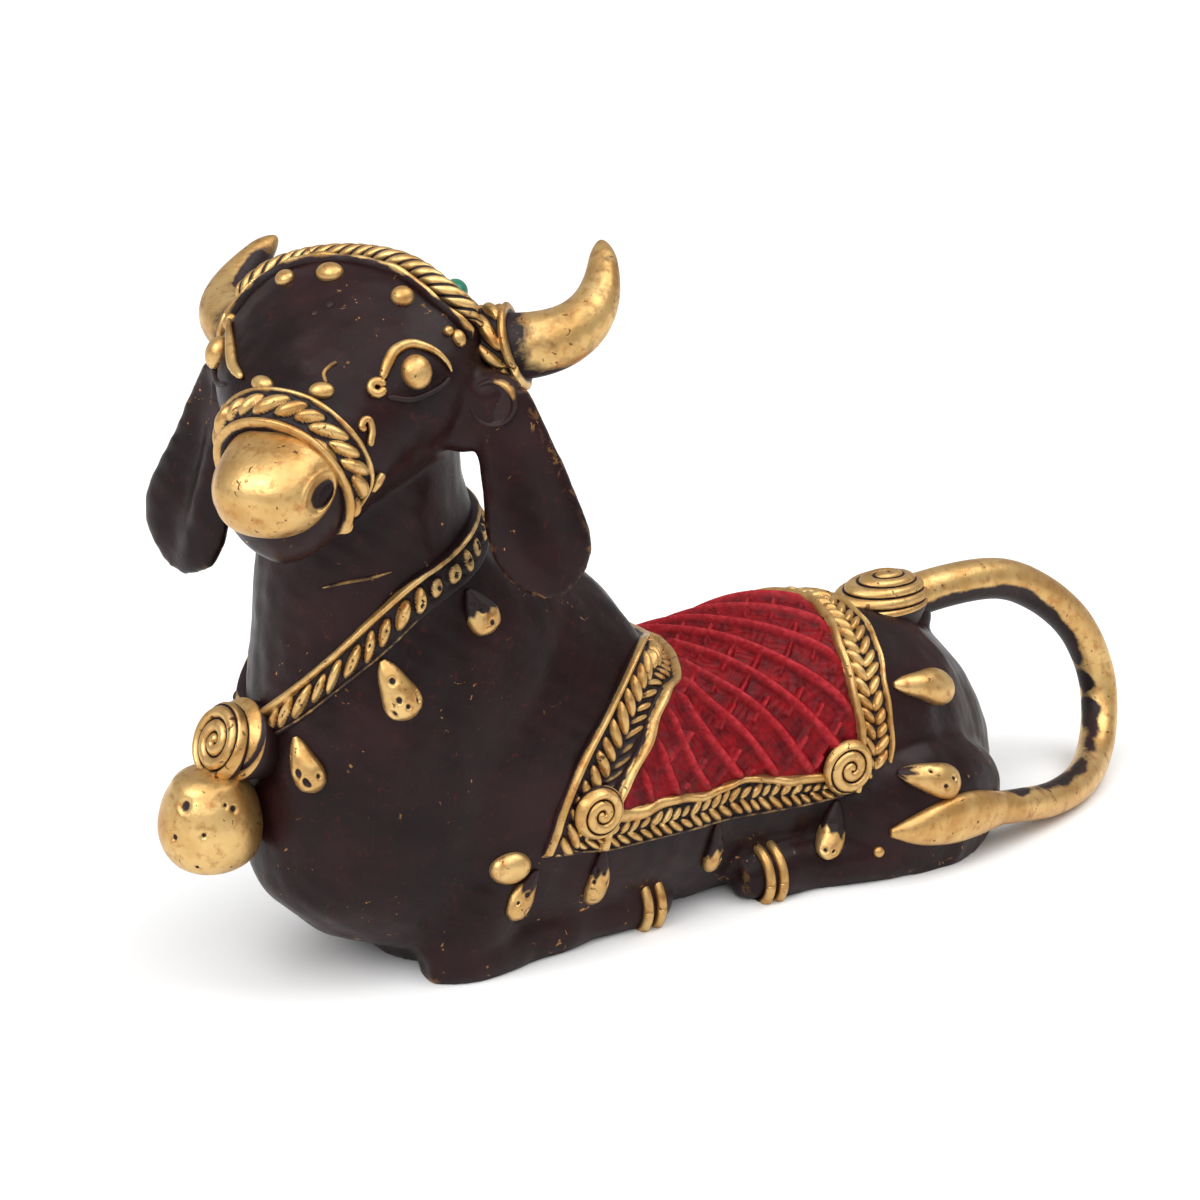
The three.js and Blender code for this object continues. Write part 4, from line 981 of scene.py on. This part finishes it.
for left, nose, crown, wide, high, rise in (
    (-1.1, 1.7, 9.5, 1.8, 1.4, 1.1), (-7.2, 2.1, 8.6, 1.4, 1.2, 0.9), (8.7, 3.4, 8, 1.4, 1.4, 1.2),
    (15.1, 4.4, 3.2, 0.8, 1.1, 0.8), (14.2, 4.6, 4.4, 0.6, 0.6, 0.6), (-15.1, 4.4, 3.2, 0.8, 1.1, 0.8),
    (-3.9, 17.8, 5.2, 1.7, 1, 0.9), (3.9, 18.1, 5.2, 1.5, 1.1, 0.9), (0.8, 6.7, 8.7, 0.5, 0.5, 0.25),
    (-0.6, 8, 8.4, 0.35, 0.35, 0.2),
):
    trims.append((bead(pressed(left, nose, crown), wide, high, rise), 1.0 if rise > 0.4 else 0.15))
trims.append((laid_thread(1, FOREHEAD_CURL, 0.24, 0.1), 0.35))
for side in (1, -1):
    trims += [(laid_thread(side, CHEEK_HOOK, 0.42), 1.0),
              (laid_thread(side, CHEEK_PELLET, array([0.35, 0.6, 0.45])), 1.0)]
cast_bright("eyes_and_beads", trims)


# The ear roots: each ear's root is rolled up in the wax to a round knob that faces forward. It is cast with
# the head and left dark, with an arc of its rim worn to bare brass.
ROLL_RADIUS = 3.3
rolls = []
for side in (1, -1):
    facing = unit(array([0.62 * side + 0.2, -0.76, 0.1]))
    sideways = unit(cross(facing, UPRIGHT))
    centre = on_head(18.9 if side > 0 else -16.8, 6.2, -4.4) + facing * 1.2
    share = np.append(linspace(0.02, 1, 40), 0.9)[:, None]
    angle = circle(72)
    rim = hump(share - 0.8, 0.11)
    height = 0.5 * (1 - share**2) + 0.5 * rim + 0.12 * sin(angle * 2 + 1) * share
    height = height - 1.1 * clip(share - 0.86, 0, 1) / 0.14
    height[-1] = -4
    base = (centre, sideways, cross(sideways, facing), facing)
    rolls.append((disc(base, share * ROLL_RADIUS, share * ROLL_RADIUS, angle + 0.2, height),
                  rim * 0.75 * clip(sin(angle - 0.5) * 3 - 2, 0, 1)))
cast("ear_rolls", rolls, brass)


# A line scored on the neck above the collar: its lips stand up like a fine thread, and the patina has
# rubbed through to the brass along them.
SCORED = [[8.6, -45.2, 54.1], [10.5, -43.1, 54.9], [11.9, -40.4, 55.4], [12.6, -37.8, 55.9]]
scored = [point + out * 0.1 for point, out in map(on_skin, SCORED)]
cast_bright("scored_line", [(thread(scored, array([0.1, 0.22, 0.22, 0.1])), 0.35)])


# The horns: tapered rods of wax bent back, cast with the head and polished, the right one dark along its
# outer side. Round each root lies a strap of wax leaves between two threads.
ROOT_RADIUS, TIP_RADIUS = 4.1, 1.3
LEFT_HORN = [(15, -1.6, -2.6), (30.6, -4.4, -4.8), (24, -19.5, 0.5)]
RIGHT_HORN = [(-15, -1.6, -3), (-28.8, -4.4, -5.2), (-21.4, -19.5, -1.8)]
STRAP_WIDTH = 0.15


def horn(bend):
    """A horn: a circle carried along a three-point bend, thinning to its tip."""
    a, b, c = (on_head(*point) for point in bend)

    def surface(share, angle):
        share, angle = np.broadcast_arrays(share, angle)
        t = share[..., None]
        centre = a * (1 - t) ** 2 + 2 * b * t * (1 - t) + c * t**2
        ahead = unit(2 * (b - a) * (1 - t) + 2 * (c - b) * t)
        across = unit(cross(ahead, CROWNWARD))
        up = cross(across, ahead)
        radius = ROOT_RADIUS + (TIP_RADIUS - ROOT_RADIUS) * clip(share, 0, 1) ** 1.9
        radius = radius * rounded_end((share - 0.9) / 0.101, 2)
        return placed(centre, (across, radius * cos(angle)), (up, radius * sin(angle)))
    return surface


def strap_section(along, across, width, run):
    """The horn strap: thick slanted leaves between a thin and a thick thread."""
    return relief(1.4, plain_thread(across, 0.4, 0.35) * 0.8, plain_thread(across, width - 0.6, 0.6) * 1.3,
                  leaf_row(along, across, 0.48 * width, 0.34 * width, 3.1, 1, 12, 0.8) * 1.3)


horns, straps = [], []
for side, bend in ((1, LEFT_HORN), (-1, RIGHT_HORN)):
    surface = horn(bend)
    share = crowded(0, 1, 90)[:, None]
    angle = circle(48)
    beyond = share - 0.09 - 0.3 * clip(-sin(angle) - 0.1, 0, 1)
    patch = hump(share - 0.66, 0.24, 4) * clip(cos(angle) * 3 - 1, 0, 1) * (side < 0)
    horns.append((surface(share, angle), clip(0.5 * clip(beyond * 8, 0.1, 1) - 0.6 * patch, 0, 1)))
    turn = linspace(-1, 361, 30)
    inner = -0.012 - 0.04 * sin(radians(turn))
    edges = [np.column_stack([inner + reach, turn]) for reach in (0, STRAP_WIDTH)]
    straps.append(laid_band(surface, *edges, strap_section, 0.18, 0.6))
cast_bright("horns", horns)
cast_bright("horn_straps", straps)


# The tail: a polished rod that leaves the coil on the back, loops behind the rump as a handle and comes
# forward to the left thigh, where its tuft lies as a leaf. Inside the loop the rod keeps its dark patina.
TAIL = array([
    [0, 46, 29], [0, 54, 31.2], [0, 67.4, 31], [0.2, 76.2, 27.4], [1, 83.4, 21.1], [2.4, 86.8, 13.8],
    [4.8, 86.1, 7.7], [9, 81.6, 3.6], [14.2, 74.2, 2.7], [17.6, 66, 3.1], [19.8, 58, 4.8], [21.2, 50, 6.6],
])
TUFT = [[21.8, 32.8, 7.5, 0.5, 0.6], [22.8, 36.8, 7.5, 1.5, 2.3], [23.1, 41.7, 7.6, 1.8, 3.4],
        [22.5, 46.8, 7.2, 2, 3.4], [21.2, 52.4, 6.1, 1.9, 2.5], [19.6, 57.8, 4.6, 1.4, 1.6]]
ROD_RADIUS, ROD_TAPER = 3.15, 0.75
ROD_ROWS, ROD_SIDES = 240, 36
size = ROD_RADIUS - ROD_TAPER * clip(linspace(0, 1.1, len(TAIL)), 0, 1)
rod = limb(np.column_stack([TAIL, size, size]), ROD_ROWS, ROD_SIDES, (1, 0, 0))
rod[..., 2] = np.maximum(rod[..., 2], 0.1)
share = linspace(0, 1, ROD_ROWS)[:, None]
angle = circle(ROD_SIDES)
inner = -cos(angle) - np.interp(share, [0, 0.22, 0.4, 1], [-0.25, -0.1, 0.6, 0.68])
inner = inner + 0.07 * sin(share * 31 + 4 * sin(share * 13)) + 0.04 * sin(share * 97 + 2 * angle)
cast_bright("tail", [(rod, 1 - 0.9 * clip(inner * 3, 0, 1)), (limb(TUFT, 60, 30), 1.0)])


# Hoof bands: two rings of wax thread round each lower leg, where the hoof begins, cast with the leg and
# rubbed half bright.
RING_THREAD = 0.7
rings = []
for side in (1, -1):
    for y, x, z, size in (
        (-3.1, 12.3, 3.2, 4.2), (-1, 12.3, 3.2, 4.2), (15.2, 14.4, 3.1, 4.2), (17.2, 14.5, 3.1, 4.3),
    ):
        lead = KNEE_LEAD if side < 0 and y < 10 else 0
        turn = linspace(0, 2 * pi, 60)[:, None]
        angle = circle(16)
        reach = size + RING_THREAD * cos(angle)
        ring = [side * x + reach * cos(turn), y + lead + RING_THREAD * sin(angle) + 0 * turn,
                np.maximum(z + reach * sin(turn), 0.05)]
        rings.append((np.stack(ring, -1), 0.6))
cast_bright("hoof_bands", rings)


# A spot of green enamel paint behind the crown rope, beside the left horn: one thick touch on the brass
# that stands up as a small dome.
green, shader, place = new_finish("green_enamel")
colour = blend(noise(place, 500, 3), tone(0, 84, 62), tone(8, 132, 104))
plug(shader, {"Base Color": colour, "Roughness": 0.35})
cast("green_spot", [(bead(seat(head, -3.2, 37), 1.9, 1.4, 1.2), None)], green)


# Where it is photographed: a plain sheet of white card under soft white light, with a lamp in front, one
# behind and a wide glow from above, seen from the bull's left front.
CAMERA_TARGET = array([0, 0, 0.041])
CAMERA_DISTANCE = 0.373
white, shader, place = new_finish("white_sheet")
colour = blend(noise(place, 4, 3), (0.9, 0.9, 0.9, 1), (0.93, 0.93, 0.93, 1))
plug(shader, {"Base Color": colour, "Roughness": 0.9})
sheet = bpy.data.meshes.new("floor")
sheet.from_pydata([(-4, -4, 0), (4, -4, 0), (4, 4, 0), (-4, 4, 0)], [], [(0, 1, 2, 3)])
sheet.materials.append(white)
floor = put("floor", sheet)

scene = bpy.context.scene
world = bpy.data.worlds.new("studio")
scene.world = world
world.use_nodes = True
plug(world.node_tree.nodes["Background"], {"Color": (1, 1, 1, 1), "Strength": 0.5})

for name, at, size, power in (
    ("key_light", (0.1, -0.8, 0.75), 0.55, 4.5), ("top_light", (0.25, 0.45, 0.9), 0.6, 3.5),
):
    lamp = bpy.data.lights.new(name, "AREA")
    lamp.shape = "SQUARE"
    lamp.size = size
    lamp.energy = power
    holder = put(name, lamp)
    holder.location = at
    holder.rotation_euler = (Vector((0, 0, 0.04)) - Vector(at)).to_track_quat("-Z", "Y").to_euler()
sky = bpy.data.lights.new("diffuser", "SUN")
sky.angle = radians(75)
sky.energy = 1.7
put("diffuser", sky).rotation_euler = radians([18, 22, 0])

lens = bpy.data.cameras.new("camera")
lens.lens = 85
lens.sensor_width = 36
lens.clip_start = 0.01
camera = put("camera", lens)
back = towards(*radians([57, 20]))
camera.location = CAMERA_TARGET + CAMERA_DISTANCE * back
camera.rotation_euler = Vector(-back).to_track_quat("-Z", "Y").to_euler()
scene.camera = camera
scene.view_settings.view_transform = "Standard"
